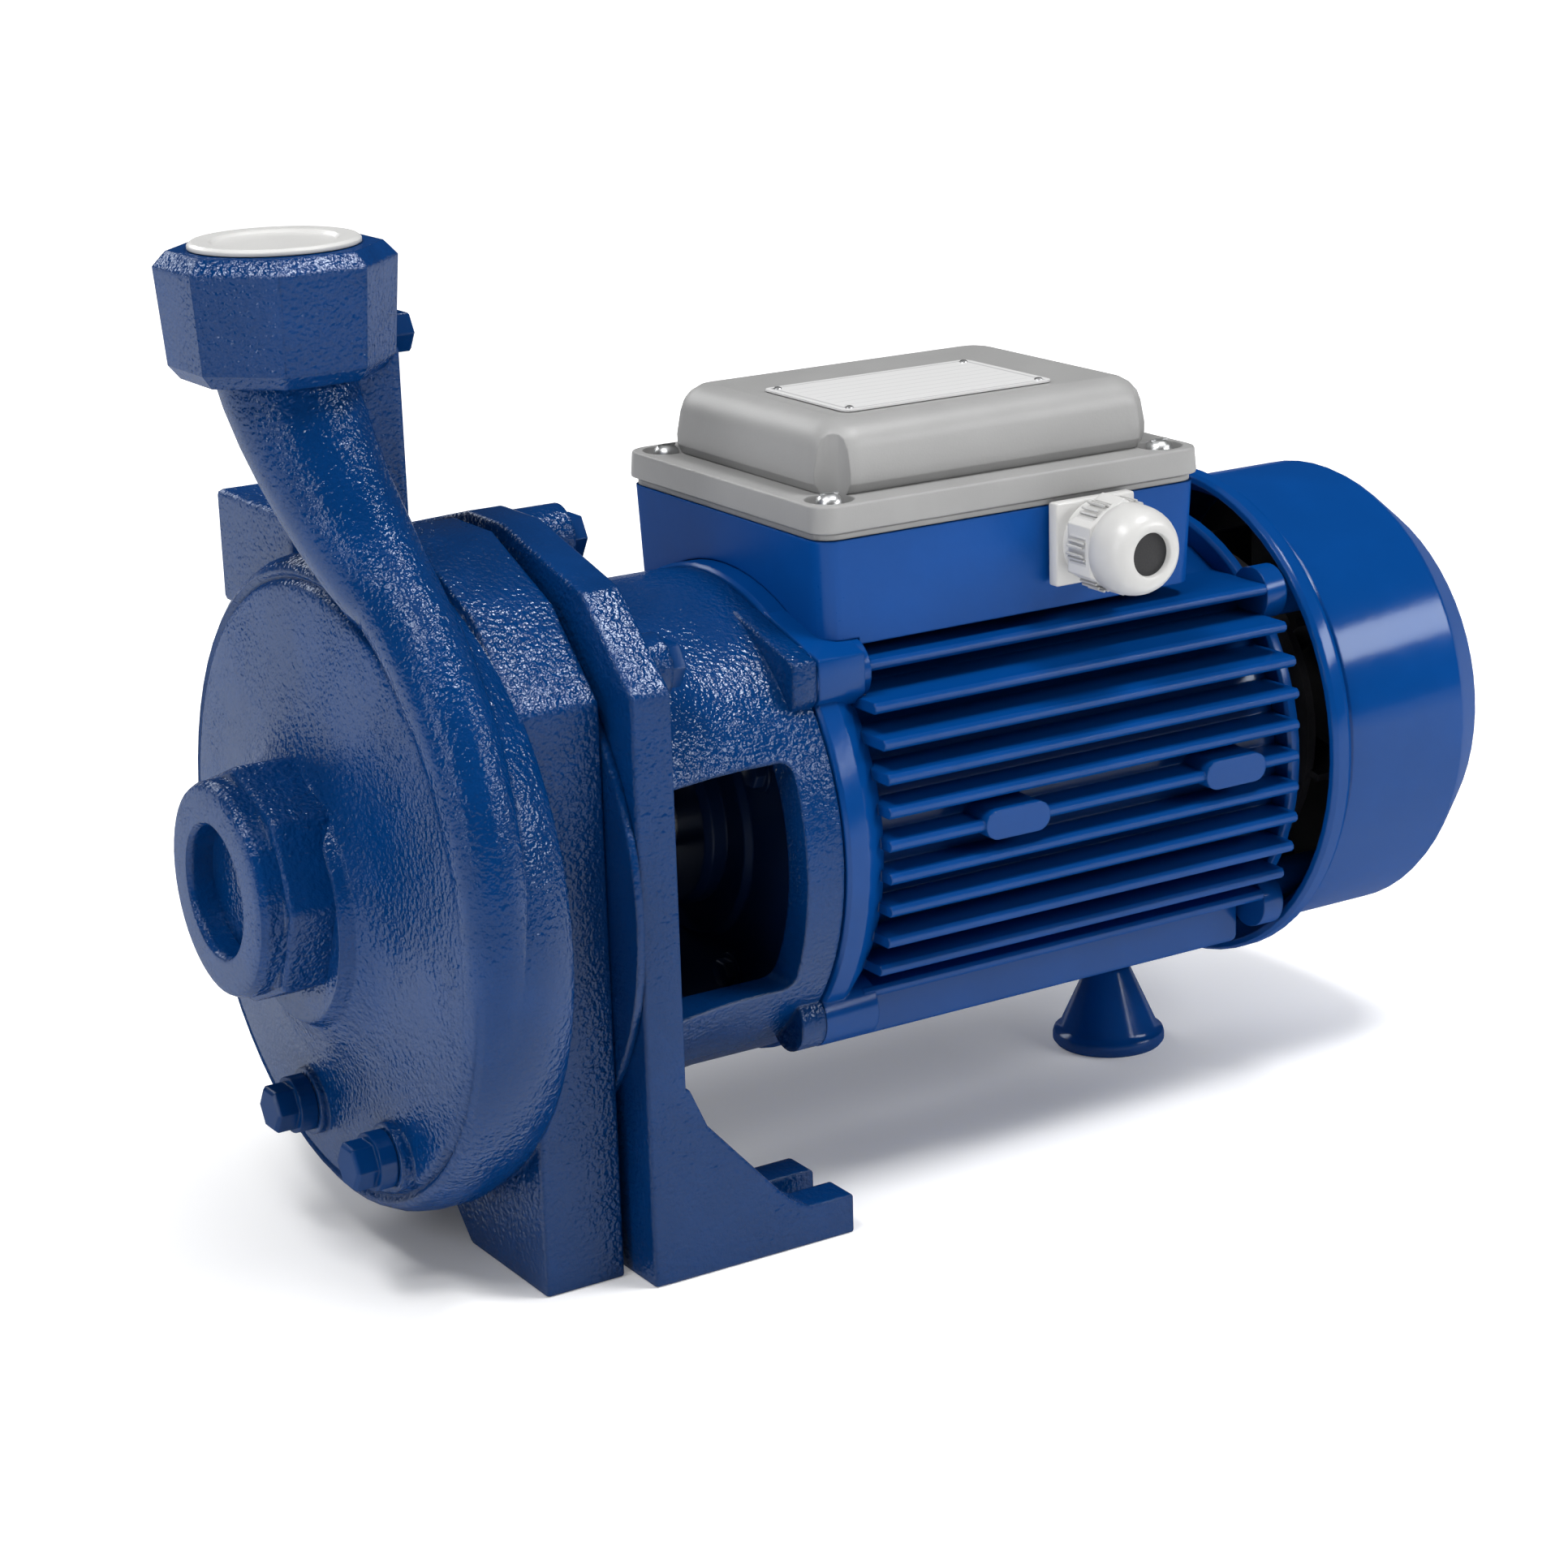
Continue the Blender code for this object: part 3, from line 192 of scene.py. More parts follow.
class Graph:
    """A node material under construction."""

    def __init__(self, name: str) -> None:
        """Start an empty material.

        Args:
            name: the material's name.
        """
        self.material = bpy.data.materials.new(name)
        self.material.use_nodes = True
        self.tree = self.material.node_tree
        self.tree.nodes.clear()
        self.place = self.node("ShaderNodeTexCoord", {}, {}, "Object")

    def node(self, kind: str, settings: Dict[str, object], inputs: Dict[Union[int, str], object],
             output: Union[int, str] = 0) -> Value:
        """Add one node, set it, then link or fill its inputs.

        Args:
            kind: the node type's name.
            settings: attributes set first.
            inputs: input name or index to value or linked socket.
            output: name or index of the wanted output.

        Returns:
            The wanted output.
        """
        made = self.tree.nodes.new(kind)
        for key, setting in settings.items():
            setattr(made, key, setting)
        for key, given in inputs.items():
            target = made.inputs[key]
            if isinstance(given, Value):
                self.tree.links.new(given.socket, target)
            else:
                target.default_value = given
        return Value(self, made.outputs[output])

    def stretched(self, scale: Point) -> Value:
        """Scale the object coordinates along X, Y and Z."""
        return self.node("ShaderNodeMapping", {}, {"Vector": self.place, "Scale": scale})

    def noise(self, size: float, detail: float = 3.0, roughness: float = 0.5,
              place: Optional[Value] = None) -> Value:
        """Add a noise of a real grain size.

        Args:
            size: length of one grain.
            detail: octaves.
            roughness: weight of the finer octaves.
            place: coordinates, the object's own by default.

        Returns:
            Noise from 0 to 1.
        """
        return self.node("ShaderNodeTexNoise", {}, {
            "Vector": place or self.place, "Scale": 1.0 / size, "Detail": detail, "Roughness": roughness})

    def axes(self) -> Tuple[Value, Value, Value]:
        """Split the object coordinates.

        Returns:
            X, Y and Z in metres.
        """
        split = self.tree.nodes.new("ShaderNodeSeparateXYZ")
        self.tree.links.new(self.place.socket, split.inputs[0])
        return tuple(Value(self, split.outputs[i]) for i in range(3))

    def blend(self, share: Operand, first: Tint, second: Tint) -> Value:
        """Mix two colours: share 0 gives the first, 1 the second."""
        return self.node("ShaderNodeMix", {"data_type": "RGBA"},
                         {0: share, 6: rgba(first), 7: rgba(second)}, 2)

    def turned(self) -> Value:
        """Run from 0 where the surface is seen face on to 1 where it is seen edge on."""
        return self.node("ShaderNodeLayerWeight", {}, {"Blend": 0.5}, "Facing")

    def bump(self, height: Value, distance: float, strength: float,
             normal: Optional[Value] = None) -> Value:
        """Turn a height into a normal.

        Args:
            height: height pattern from 0 to 1.
            distance: real height of the pattern.
            strength: share of the effect.
            normal: a normal to build on.

        Returns:
            The bumped normal.
        """
        inputs: Dict[Union[int, str], object] = {
            "Height": height, "Distance": distance, "Strength": strength}
        if normal is not None:
            inputs["Normal"] = normal
        return self.node("ShaderNodeBump", {}, inputs)

    def eased(self, radius: float) -> Value:
        """Give the normal of a surface whose edges are rounded to a radius."""
        return self.node("ShaderNodeBevel", {"samples": 4}, {"Radius": radius})

    def surface(self, **inputs: object) -> bpy.types.Material:
        """Close the graph with a Principled shader.

        Args:
            **inputs: Principled inputs, underscores standing for spaces.

        Returns:
            The finished material.
        """
        named = {key.replace("_", " "): rgba(given) if key == "Base_Color" else given
                 for key, given in inputs.items()}
        shader = self.node("ShaderNodeBsdfPrincipled", {}, named)
        self.node_output(shader)
        return self.material

    def enamel(self, tone: Value, rough: Value, normal: Value, sheen: float,
               graze: float) -> bpy.types.Material:
        """Close the graph with a flat colour under a sheen that grows edge on.

        Args:
            tone: colour under the gloss.
            rough: roughness of the gloss.
            normal: normal of the surface.
            sheen: share of the light that the gloss returns face on.
            graze: further share that it returns edge on.

        Returns:
            The finished material.
        """
        under = self.node("ShaderNodeBsdfPrincipled", {}, {
            "Base Color": tone, "Roughness": UNDERCOAT_ROUGHNESS, "Normal": normal,
            "Specular IOR Level": 0.0})
        gloss = self.node("ShaderNodeBsdfPrincipled", {}, {
            "Base Color": rgba(GLOSS_TINT), "Roughness": rough, "Normal": normal, "Metallic": 1.0})
        turned = self.turned()
        share = sheen + graze * turned * turned
        self.node_output(self.node("ShaderNodeMixShader", {}, {0: share, 1: under, 2: gloss}))
        return self.material

    def node_output(self, shader: Value) -> None:
        """Link a shader to the material's output."""
        end = self.tree.nodes.new("ShaderNodeOutputMaterial")
        self.tree.links.new(shader.socket, end.inputs["Surface"])


def rgba(colour: Tint) -> Union[Value, Tuple[float, ...]]:
    """Give a plain colour its alpha, and pass a socket on."""
    return colour if isinstance(colour, Value) else (*colour, 1.0)


def scaled(colour: Colour, factor: float) -> Colour:
    """Make a colour darker or paler by a factor."""
    return tuple(part * factor for part in colour)


@dataclass(frozen=True)
class CastPaint:
    """Glossy enamel over a grained casting.

    The swell and the fine grain are multiples of the grain; patch, dust and thin are the lengths
    of the patches where the grain is coarser, the paint deeper or the coat thinner.
    """

    name: str
    colour: Colour
    grain: float = 0.0016
    swell: float = 7.0
    fine: float = 0.42
    patch: float = 0.030
    dust: float = 0.045
    thin: float = 0.012
    relief: float = 0.00070
    gloss: float = 0.065
    edge: float = 0.0018
    sheen: float = 0.019
    graze: float = 0.16

    def build(self) -> bpy.types.Material:
        """Build the material.

        Returns:
            The material.
        """
        g = Graph(self.name)
        swell = g.noise(self.grain * self.swell, 2.0, 0.45)
        skin = g.noise(self.grain, 1.5, 0.45)
        fine = g.noise(self.grain * self.fine, 1.0, 0.4)
        patch = g.noise(self.patch, 3.0, 0.55).ramp(0.30, 0.72)
        height = skin * (0.45 + 0.75 * patch) + swell * 0.45 + fine * 0.16
        dust = g.noise(self.dust, 4.0, 0.6).ramp(0.35, 0.75)
        thin = g.noise(self.thin, 3.0, 0.6).ramp(0.50, 0.90)
        pale = tuple(part * 1.18 + 0.002 for part in self.colour)
        tone = g.blend(dust, scaled(self.colour, 0.80), self.colour)
        tone = g.blend(thin * 0.35, tone, pale)
        rough = self.gloss + 0.06 * skin + 0.05 * dust
        normal = g.bump(height, self.relief, 1.0, g.eased(self.edge))
        return g.enamel(tone, rough, normal, self.sheen, self.graze)


@dataclass(frozen=True)
class SmoothPaint:
    """Glossy enamel on drawn, turned or die-cast metal.

    Peel, sag and dust are the lengths of the orange peel, the runs and the deeper patches.
    """

    name: str
    colour: Colour
    peel: float = 0.0032
    sag: float = 0.035
    dust: float = 0.06
    relief: float = 0.00006
    gloss: float = 0.14
    edge: float = 0.0009
    sheen: float = 0.022
    graze: float = 0.05

    def build(self) -> bpy.types.Material:
        """Build the material.

        Returns:
            The material.
        """
        g = Graph(self.name)
        peel = g.noise(self.peel, 2.0, 0.45)
        sag = g.noise(self.sag, 2.0, 0.5)
        dust = g.noise(self.dust, 4.0, 0.6).ramp(0.40, 0.78)
        tone = g.blend(dust, scaled(self.colour, 0.86), self.colour)
        rough = self.gloss + 0.05 * peel + 0.05 * dust
        normal = g.bump(peel * 0.6 + sag * 0.9, self.relief, 0.8, g.eased(self.edge))
        return g.enamel(tone, rough, normal, self.sheen, self.graze)


@dataclass(frozen=True)
class Moulded:
    """Moulded plastic with a fine spark grain."""

    name: str
    colour: Colour
    grain: float = 0.0007
    flow: float = 0.02
    relief: float = 0.00005
    rough: float = 0.42
    edge: float = 0.0008

    def build(self) -> bpy.types.Material:
        """Build the material.

        Returns:
            The material.
        """
        g = Graph(self.name)
        grain = g.noise(self.grain, 3.0, 0.6)
        flow = g.noise(self.flow, 3.0, 0.5)
        tone = g.blend(flow.ramp(0.3, 0.7), scaled(self.colour, 0.95), self.colour)
        rough = self.rough + 0.12 * (grain - 0.5) + 0.05 * flow
        normal = g.bump(grain, self.relief, 0.7, g.eased(self.edge))
        return g.surface(Base_Color=tone, Roughness=rough, Normal=normal)


@dataclass(frozen=True)
class Turned:
    """Bright turned or ground metal."""

    name: str
    colour: Colour
    rough: float = 0.24
    groove: float = 0.0009
    stretch: float = 9.0
    stain: float = 0.015

    def build(self) -> bpy.types.Material:
        """Build the material.

        Returns:
            The material.
        """
        g = Graph(self.name)
        lines = g.noise(self.groove, 2.0, 0.5, g.stretched((self.stretch, 1.0, 1.0)))
        stain = g.noise(self.stain, 4.0, 0.6)
        tone = g.blend(stain.ramp(0.35, 0.7), scaled(self.colour, 0.78), self.colour)
        rough = self.rough + 0.14 * lines + 0.10 * stain
        normal = g.bump(lines, 0.00003, 0.6)
        return g.surface(Base_Color=tone, Roughness=rough, Normal=normal, Metallic=1.0)


@dataclass(frozen=True)
class Rubber:
    """Matt black rubber or moulded fan plastic."""

    name: str
    colour: Colour = (0.012, 0.012, 0.014)
    bloomed: Colour = (0.035, 0.035, 0.038)
    bloom: float = 0.01
    grain: float = 0.0006

    def build(self) -> bpy.types.Material:
        """Build the material.

        Returns:
            The material.
        """
        g = Graph(self.name)
        bloom = g.noise(self.bloom, 4.0, 0.6)
        grain = g.noise(self.grain, 2.0, 0.5)
        tone = g.blend(bloom.ramp(0.5, 0.9) * 0.4, self.colour, self.bloomed)
        return g.surface(Base_Color=tone, Roughness=0.58 + 0.2 * grain,
                         Normal=g.bump(grain, 0.00005, 0.6))


@dataclass(frozen=True)
class BlankPlate:
    """A bright data plate with empty ruled lines.

    The half widths of the ruled field and of its frame are shares of the plate's own sides.
    """

    name: str
    middle: Tuple[float, float]
    length: float = 0.078
    width: float = 0.048
    row: float = 0.055
    field_half: Tuple[float, float] = (0.44, 0.40)
    frame_inner: Tuple[float, float] = (0.465, 0.45)
    frame_outer: Tuple[float, float] = (0.475, 0.465)
    metal: Colour = (0.62, 0.62, 0.62)
    ink: Colour = (0.38, 0.38, 0.39)

    def build(self) -> bpy.types.Material:
        """Build the material.

        Returns:
            The material.
        """
        g = Graph(self.name)
        x, y, _ = g.axes()
        across = (x - self.middle[0]) / self.length
        down = (y - self.middle[1]) / self.width
        brushed = g.noise(0.0005, 2.0, 0.5, g.stretched((0.06, 1.0, 1.0)))
        rows = (down + 0.5).fold(self.row) / self.row
        line = rows.ramp(0.86, 0.97) * self._patch(across, down, self.field_half)
        inner = self._patch(across, down, self.frame_inner)
        frame = (1.0 - inner) * self._patch(across, down, self.frame_outer)
        mark = (line * 0.55 + frame).clamp()
        tone = g.blend(mark, self.metal, self.ink)
        rough = 0.34 + 0.16 * brushed
        return g.surface(Base_Color=tone, Roughness=rough, Metallic=0.15,
                         Normal=g.bump(brushed, 0.00002, 0.5))

    @staticmethod
    def _patch(across: Value, down: Value, half: Tuple[float, float]) -> Value:
        """Give 1 inside a centred rectangle and 0 outside it."""
        return band(across, half[0]) * band(down, half[1])


def band(value: Value, half: float, blur: float = 0.004) -> Value:
    """Give 1 within half a width of 0 and 0 beyond it, with a slight blur."""
    return 1.0 - value.size().ramp(half - blur, half + blur)


def rounded(part: bmesh.types.BMesh, edges: List[bmesh.types.BMEdge], width: float,
            steps: int = BEVEL_STEPS) -> None:
    """Round some edges.

    Args:
        part: the mesh.
        edges: the edges to round.
        width: width of the rounding.
        steps: faces across the rounding.
    """
    bmesh.ops.bevel(part, geom=edges, offset=width, offset_type="OFFSET", affect="EDGES",
                    segments=steps, profile=0.5, material=-1)


class Shape:
    """A mesh piece built in place from simple operators."""

    WELD: float = 0.000001

    def __init__(self, name: str) -> None:
        """Start an empty piece under its own name."""
        self.name = name
        self.mesh = bmesh.new()

    def lathe(self, profile: Profile, matrix: Matrix, steps: int = 32) -> "Shape":
        """Turn an open or closed profile about local Z.

        Args:
            profile: (radius, height) points.
            matrix: where the turned part goes.
            steps: segments round.

        Returns:
            This piece.
        """
        part = bmesh.new()
        verts = [part.verts.new((radius, 0.0, height)) for radius, height in profile]
        edges = [part.edges.new(pair) for pair in zip(verts, verts[1:])]
        bmesh.ops.spin(part, geom=verts + edges, cent=(0, 0, 0), axis=(0, 0, 1),
                       dvec=(0, 0, 0), angle=2 * math.pi, steps=steps, use_merge=True,
                       use_duplicate=False)
        return self.add(part, matrix)

    def drum(self, radius: float, depth: float, matrix: Matrix, segments: int = 32,
             edge: float = 0.0) -> "Shape":
        """Add a cylinder or prism that stands on local z = 0.

        Args:
            radius: radius of the corners.
            depth: height.
            matrix: where it goes.
            segments: sides.
            edge: width of the rounding on the upper rim.

        Returns:
            This piece.
        """
        part = bmesh.new()
        lift = Matrix.Translation((0.0, 0.0, depth / 2))
        bmesh.ops.create_cone(part, cap_ends=True, segments=segments, radius1=radius, radius2=radius,
                              depth=depth, matrix=lift)
        if edge > 0.0:
            rounded(part, [rim for rim in part.edges if min(v.co.z for v in rim.verts) > depth / 2], edge)
        return self.add(part, matrix)

    def block(self, size: Point, matrix: Matrix, edge: float = 0.0) -> "Shape":
        """Add a box centred on the local origin.

        Args:
            size: lengths along local X, Y and Z.
            matrix: where it goes.
            edge: width of the rounding on every edge.

        Returns:
            This piece.
        """
        part = bmesh.new()
        made = bmesh.ops.create_cube(part, size=1.0)
        bmesh.ops.scale(part, vec=size, verts=made["verts"])
        if edge > 0.0:
            rounded(part, list(part.edges), edge)
        return self.add(part, matrix)

    def prism(self, outline: Profile, front: float, rear: float, edge: float) -> "Shape":
        """Add an outline in the YZ plane, drawn out along X.

        Args:
            outline: (y, z) corners.
            front: lower x.
            rear: upper x.
            edge: width of the rounding on every edge.

        Returns:
            This piece.
        """
        part = bmesh.new()
        face = part.faces.new([part.verts.new((front, y, z)) for y, z in outline])
        drawn = bmesh.ops.extrude_face_region(part, geom=[face])
        moved = [item for item in drawn["geom"] if isinstance(item, bmesh.types.BMVert)]
        bmesh.ops.translate(part, vec=(rear - front, 0.0, 0.0), verts=moved)
        rounded(part, list(part.edges), edge)
        return self.add(part, Matrix.Identity(4))

    def add(self, part: bmesh.types.BMesh, matrix: Matrix) -> "Shape":
        """Place one finished primitive and add it to the piece.

        Args:
            part: the primitive, at the local origin.
            matrix: where it goes.

        Returns:
            This piece.
        """
        bmesh.ops.remove_doubles(part, verts=part.verts, dist=self.WELD)
        bmesh.ops.recalc_face_normals(part, faces=part.faces)
        bmesh.ops.transform(part, matrix=matrix, verts=part.verts)
        carrier = bpy.data.meshes.new(self.name + "_part")
        part.to_mesh(carrier)
        part.free()
        self.mesh.from_mesh(carrier)
        bpy.data.meshes.remove(carrier)
        return self

    def done(self, material: bpy.types.Material, angle: float = 35.0) -> bpy.types.Object:
        """Write the piece and let it ride on the frame.

        Args:
            material: the piece's finish.
            angle: edges sharper than this stay sharp.

        Returns:
            The finished object.
        """
        data = bpy.data.meshes.new(self.name)
        self.mesh.to_mesh(data)
        self.mesh.free()
        data.shade_smooth()
        data.set_sharp_from_angle(angle=math.radians(angle))
        data.materials.append(material)
        made = bpy.data.objects.new(self.name, data)
        bpy.context.scene.collection.objects.link(made)
        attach(made, "root")
        return made


@dataclass
class Palette:
    """Every finish of the pump, built once."""

    made: Dict[str, bpy.types.Material] = field(default_factory=dict)

    def build(self) -> None:
        """Build all the finishes."""
        blue = (0.0006, 0.028, 0.122)
        finishes = [
            CastPaint("casing_paint", blue),
            CastPaint("bracket_paint", blue, grain=0.0015, relief=0.00055),
            SmoothPaint("plug_paint", blue),
            SmoothPaint("motor_paint", (0.0008, 0.044, 0.200)),
            SmoothPaint("cowl_paint", (0.0008, 0.045, 0.205), gloss=0.10, relief=0.00004),
            SmoothPaint("box_paint", (0.0014, 0.056, 0.255), gloss=0.26, peel=0.0022, relief=0.00010,
                        sheen=0.015, graze=0.010),
            # Painted shade: a near-black blue, far darker than the motor paint, stands for the shade on
            # the front end shield inside the lantern and on its screws.
            SmoothPaint("shaded_shield_paint", (0.0010, 0.008, 0.035), gloss=0.30),
            Moulded("cover_grey", (0.268, 0.268, 0.267), rough=0.42),
            Moulded("white_plastic", (0.510, 0.508, 0.500), rough=0.30),
            Turned("bright_steel", (0.66, 0.67, 0.68)),
            Turned("impeller_brass", (0.62, 0.44, 0.18), rough=0.28),
            Rubber("black_rubber"),
            BlankPlate("plate_metal", (PLATE_MIDDLE[0] + SHIFT_X, PLATE_MIDDLE[1])),
        ]
        for finish in finishes:
            self.made[finish.name] = finish.build()

    def __getitem__(self, name: str) -> bpy.types.Material:
        """Give a finish by name."""
        return self.made[name]


NODE_FINISH: Dict[str, str] = {
    "pump_body": "casing_paint",
    "drain_plug_near": "plug_paint",
    "drain_plug_far": "plug_paint",
    "priming_plug": "plug_paint",
    "discharge_cap": "white_plastic",
    "casing_cover": "bracket_paint",
    "impeller": "impeller_brass",
    "shaft": "bright_steel",
    "slinger_ring": "black_rubber",
    "motor_bracket": "bracket_paint",
    # Painted shade: the front end shield takes the darkened shield paint.
    "front_end_shield": "shaded_shield_paint",
    "motor_housing": "motor_paint",
    "rear_end_shield": "motor_paint",
    "fan": "black_rubber",
    "fan_cover": "cowl_paint",
    "terminal_box": "box_paint",
    "box_gasket": "cover_grey",
    "box_cover": "cover_grey",
    "rating_plate": "plate_metal",
    "gland_plate": "white_plastic",
    "gland_body": "white_plastic",
    "gland_nut": "white_plastic",
    "support_foot": "cowl_paint",
    "foot_stud": "bright_steel",
}


@dataclass
class FrameFinish:
    """Gives every CAD node its finish."""

    palette: Palette

    def build(self, nodes: Dict[str, bpy.types.Object]) -> int:
        """Assign the materials.

        Args:
            nodes: node name to object.

        Returns:
            How many nodes were dressed.
        """
        for name, node in nodes.items():
            material = self.palette[NODE_FINISH[name]]
            slots = node.data.materials
            if not slots:
                slots.append(material)
            for index in range(len(slots)):
                slots[index] = material
        return len(nodes)


@dataclass
class RoundedSkins:
    """Joined copies of the faceted nodes, so that their round walls shade round.

    The upper lugs of the bracket are found by their spot (y, z) and reach, and by the length
    that is cut off in front of their new front faces.
    """

    palette: Palette
    names: Tuple[str, ...] = (
        "pump_body", "motor_bracket", "motor_housing", "fan_cover", "casing_cover", "front_end_shield",
        "rear_end_shield", "support_foot", "discharge_cap", "box_cover", "terminal_box")
    weld: float = 0.000002
    sharp: float = 24.0
    lug_spot: Tuple[float, float] = (0.0541, 0.1681)
    lug_reach: float = 0.0102
    lug_front: float = 0.0965
    lug_cut: float = 0.0125

    def build(self, nodes: Dict[str, bpy.types.Object]) -> List[bpy.types.Object]:
        """Copy and join the listed nodes."""
        return [self._skin(name, nodes[name]) for name in self.names]

    def _skin(self, name: str, node: bpy.types.Object) -> bpy.types.Object:
        """Join one node's triangles and shade them round.

        Args:
            name: the node's name.
            node: the CAD node.

        Returns:
            The copy that stands for the node.
        """
        data = node.data.copy()
        data.name = name + "_skin"
        stored = data.attributes.get("custom_normal")
        if stored is not None:
            data.attributes.remove(stored)
        joined = bmesh.new()
        joined.from_mesh(data)
        bmesh.ops.remove_doubles(joined, verts=joined.verts, dist=self.weld)
        bmesh.ops.dissolve_degenerate(joined, edges=joined.edges, dist=self.weld)
        if name == "motor_bracket":
            self._shorten_lugs(joined)
        joined.to_mesh(data)
        joined.free()
        data.shade_smooth()
        data.set_sharp_from_angle(angle=math.radians(self.sharp))
        data.materials.clear()
        data.materials.append(self.palette[NODE_FINISH[name]])
        copy = bpy.data.objects.new(name + "_skin", data)
        bpy.context.scene.collection.objects.link(copy)
        level = copy.modifiers.new("Level", "WEIGHTED_NORMAL")
        level.keep_sharp = True
        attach(copy, "root")
        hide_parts(name)
        return copy

    def _shorten_lugs(self, joined: bmesh.types.BMesh) -> None:
        """Bring the front ends of the bracket's upper bolt lugs back to the corner blocks."""
        front = self.lug_front + SHIFT_X
        for vert in joined.verts:
            off = math.hypot(abs(vert.co.y) - self.lug_spot[0], vert.co.z - self.lug_spot[1])
            if front - self.lug_cut < vert.co.x < front and off < self.lug_reach:
                vert.co.x = front


@dataclass
class BoxScrews:
    """Pan-head screws in the corner pockets of the terminal box cover.

    The section of a head is given in shares of its radius and height, recess first.
    """

    palette: Palette
    middle: float = 0.183
    reach: Tuple[float, float] = (0.0622, 0.0482)
    seat: float = 0.2168
    head: float = 0.0043
    height: float = 0.0044
    section: Profile = ((0.0, 0.55), (0.32, 0.55), (0.36, 1.0), (0.62, 0.93), (0.90, 0.66), (1.0, 0.30),
                        (1.0, 0.0), (0.0, 0.0))
    bar_width: float = 0.0008
    bar_depth: float = 0.0006

    def build(self) -> List[bpy.types.Object]:
        """Build the four screws.

        Returns:
            The piece.
        """
        shape = Shape("box_screws")
        profile = [(self.head * across, self.height * up) for across, up in self.section]
        for sign_x, sign_y in CORNERS:
            spot = station(self.middle + sign_x * self.reach[0], sign_y * self.reach[1], self.seat)
            shape.lathe(profile, Facing.UP.matrix(spot), 24)
            bar = spot + Vector((0.0, 0.0, self.height * 0.97))
            shape.block((self.head * 1.5, self.bar_width, self.bar_depth), Matrix.Translation(bar))
        return [shape.done(self.palette["bright_steel"])]


@dataclass
class ShieldScrews:
    """Hex screws on washers, on the shield inside the lantern."""

    palette: Palette
    face: float = 0.0952
    circle: float = 0.052
    first_turn: float = 28.0
    count: int = 4
    head: float = 0.0046
    height: float = 0.0034
    washer: float = 0.0010
    washer_share: float = 1.35
    edge: float = 0.0004

    def build(self) -> List[bpy.types.Object]:
        """Build the screws.

        Returns:
            The piece.
        """
        shape = Shape("shield_screws")
        for turn in range(self.count):
            angle = math.radians(self.first_turn + 360.0 * turn / self.count)
            spot = station(self.face, self.circle * math.sin(angle),
                           SHAFT_Z + self.circle * math.cos(angle))
            shape.drum(self.head * self.washer_share, self.washer, Facing.FRONT.matrix(spot), 24)
            top = spot - Vector((self.washer, 0.0, 0.0))
            shape.drum(self.head, self.height, Facing.FRONT.matrix(top), 6, self.edge)
        # Painted shade: the screws take the shield's darkened paint.
        return [shape.done(self.palette["shaded_shield_paint"], 30.0)]


@dataclass
class FlangeBolts:
    """Painted hex heads on washers, on the bosses behind the bracket flange."""

    palette: Palette
    spots: Tuple[Point, ...] = (
        (0.0485, -0.0665, 0.18375), (0.0485, 0.0665, 0.18375), (0.060, 0.010, 0.2065))
    head: float = 0.0074
    height: float = 0.0050
    washer: float = 0.0012
    washer_share: float = 1.12
    edge: float = 0.0006

    def build(self) -> List[bpy.types.Object]:
        """Build the bolts.

        Returns:
            The piece.
        """
        shape = Shape("flange_bolts")
        for x, y, z in self.spots:
            spot = station(x, y, z)
            shape.drum(self.head * self.washer_share, self.washer, Facing.REAR.matrix(spot), 28)
            top = spot + Vector((self.washer, 0.0, 0.0))
            shape.drum(self.head, self.height, Facing.REAR.matrix(top), 6, self.edge)
        return [shape.done(self.palette["plug_paint"], 30.0)]


@dataclass
class CornerBlocks:
    """Flat-topped corners that carry the upper motor bolts on both flanges."""

    palette: Palette
    outline: Profile = ((-0.0300, 0.1854), (-0.0639, 0.1751), (-0.0639, 0.1630), (-0.0600, 0.1585),
                        (-0.0450, 0.1600), (-0.0300, 0.1700))
    parts: Tuple[Tuple[str, float, float, str], ...] = (
        ("bracket_corners", 0.0964, 0.1049, "bracket_paint"),
        ("motor_corners", 0.1056, 0.1222, "motor_paint"))
    edge: float = 0.0007

    def build(self) -> List[bpy.types.Object]:
        """Build the corners of both flanges."""
        return [self._pair(*part) for part in self.parts]

    def _pair(self, name: str, front: float, rear: float, finish: str) -> bpy.types.Object:
        """Build the near and the far corner of one flange.

        Args:
            name: the piece's name.
            front: station of the front face.
            rear: station of the rear face.
            finish: the finish's name.

        Returns:
            The piece.
        """
        shape = Shape(name)
        for side in (1.0, -1.0):
            points = [(side * y, z) for y, z in self.outline]
            shape.prism(points, front + SHIFT_X, rear + SHIFT_X, self.edge)
        return shape.done(self.palette[finish], 30.0)


@dataclass
class SuctionOctagon:
    """Spanner flats round the suction boss, with softly rounded edges."""

    palette: Palette
    height: float = 0.1205
    front: float = -0.0568
    rear: float = -0.0345
    corner: float = 0.0365
    edge: float = 0.0020
    edge_steps: int = 3

    def build(self) -> List[bpy.types.Object]:
        """Build the flats.

        Returns:
            The piece.
        """
        shape = Shape("suction_flats")
        length = self.rear - self.front
        part = bmesh.new()
        bmesh.ops.create_cone(part, cap_ends=True, segments=8, radius1=self.corner, radius2=self.corner,
                              depth=length, matrix=Matrix.Translation((0.0, 0.0, length / 2)))
        rounded(part, list(part.edges), self.edge, self.edge_steps)
        shape.add(part, Facing.REAR.matrix(station(self.front, 0.0, self.height)))
        return [shape.done(self.palette["casing_paint"], 24.0)]


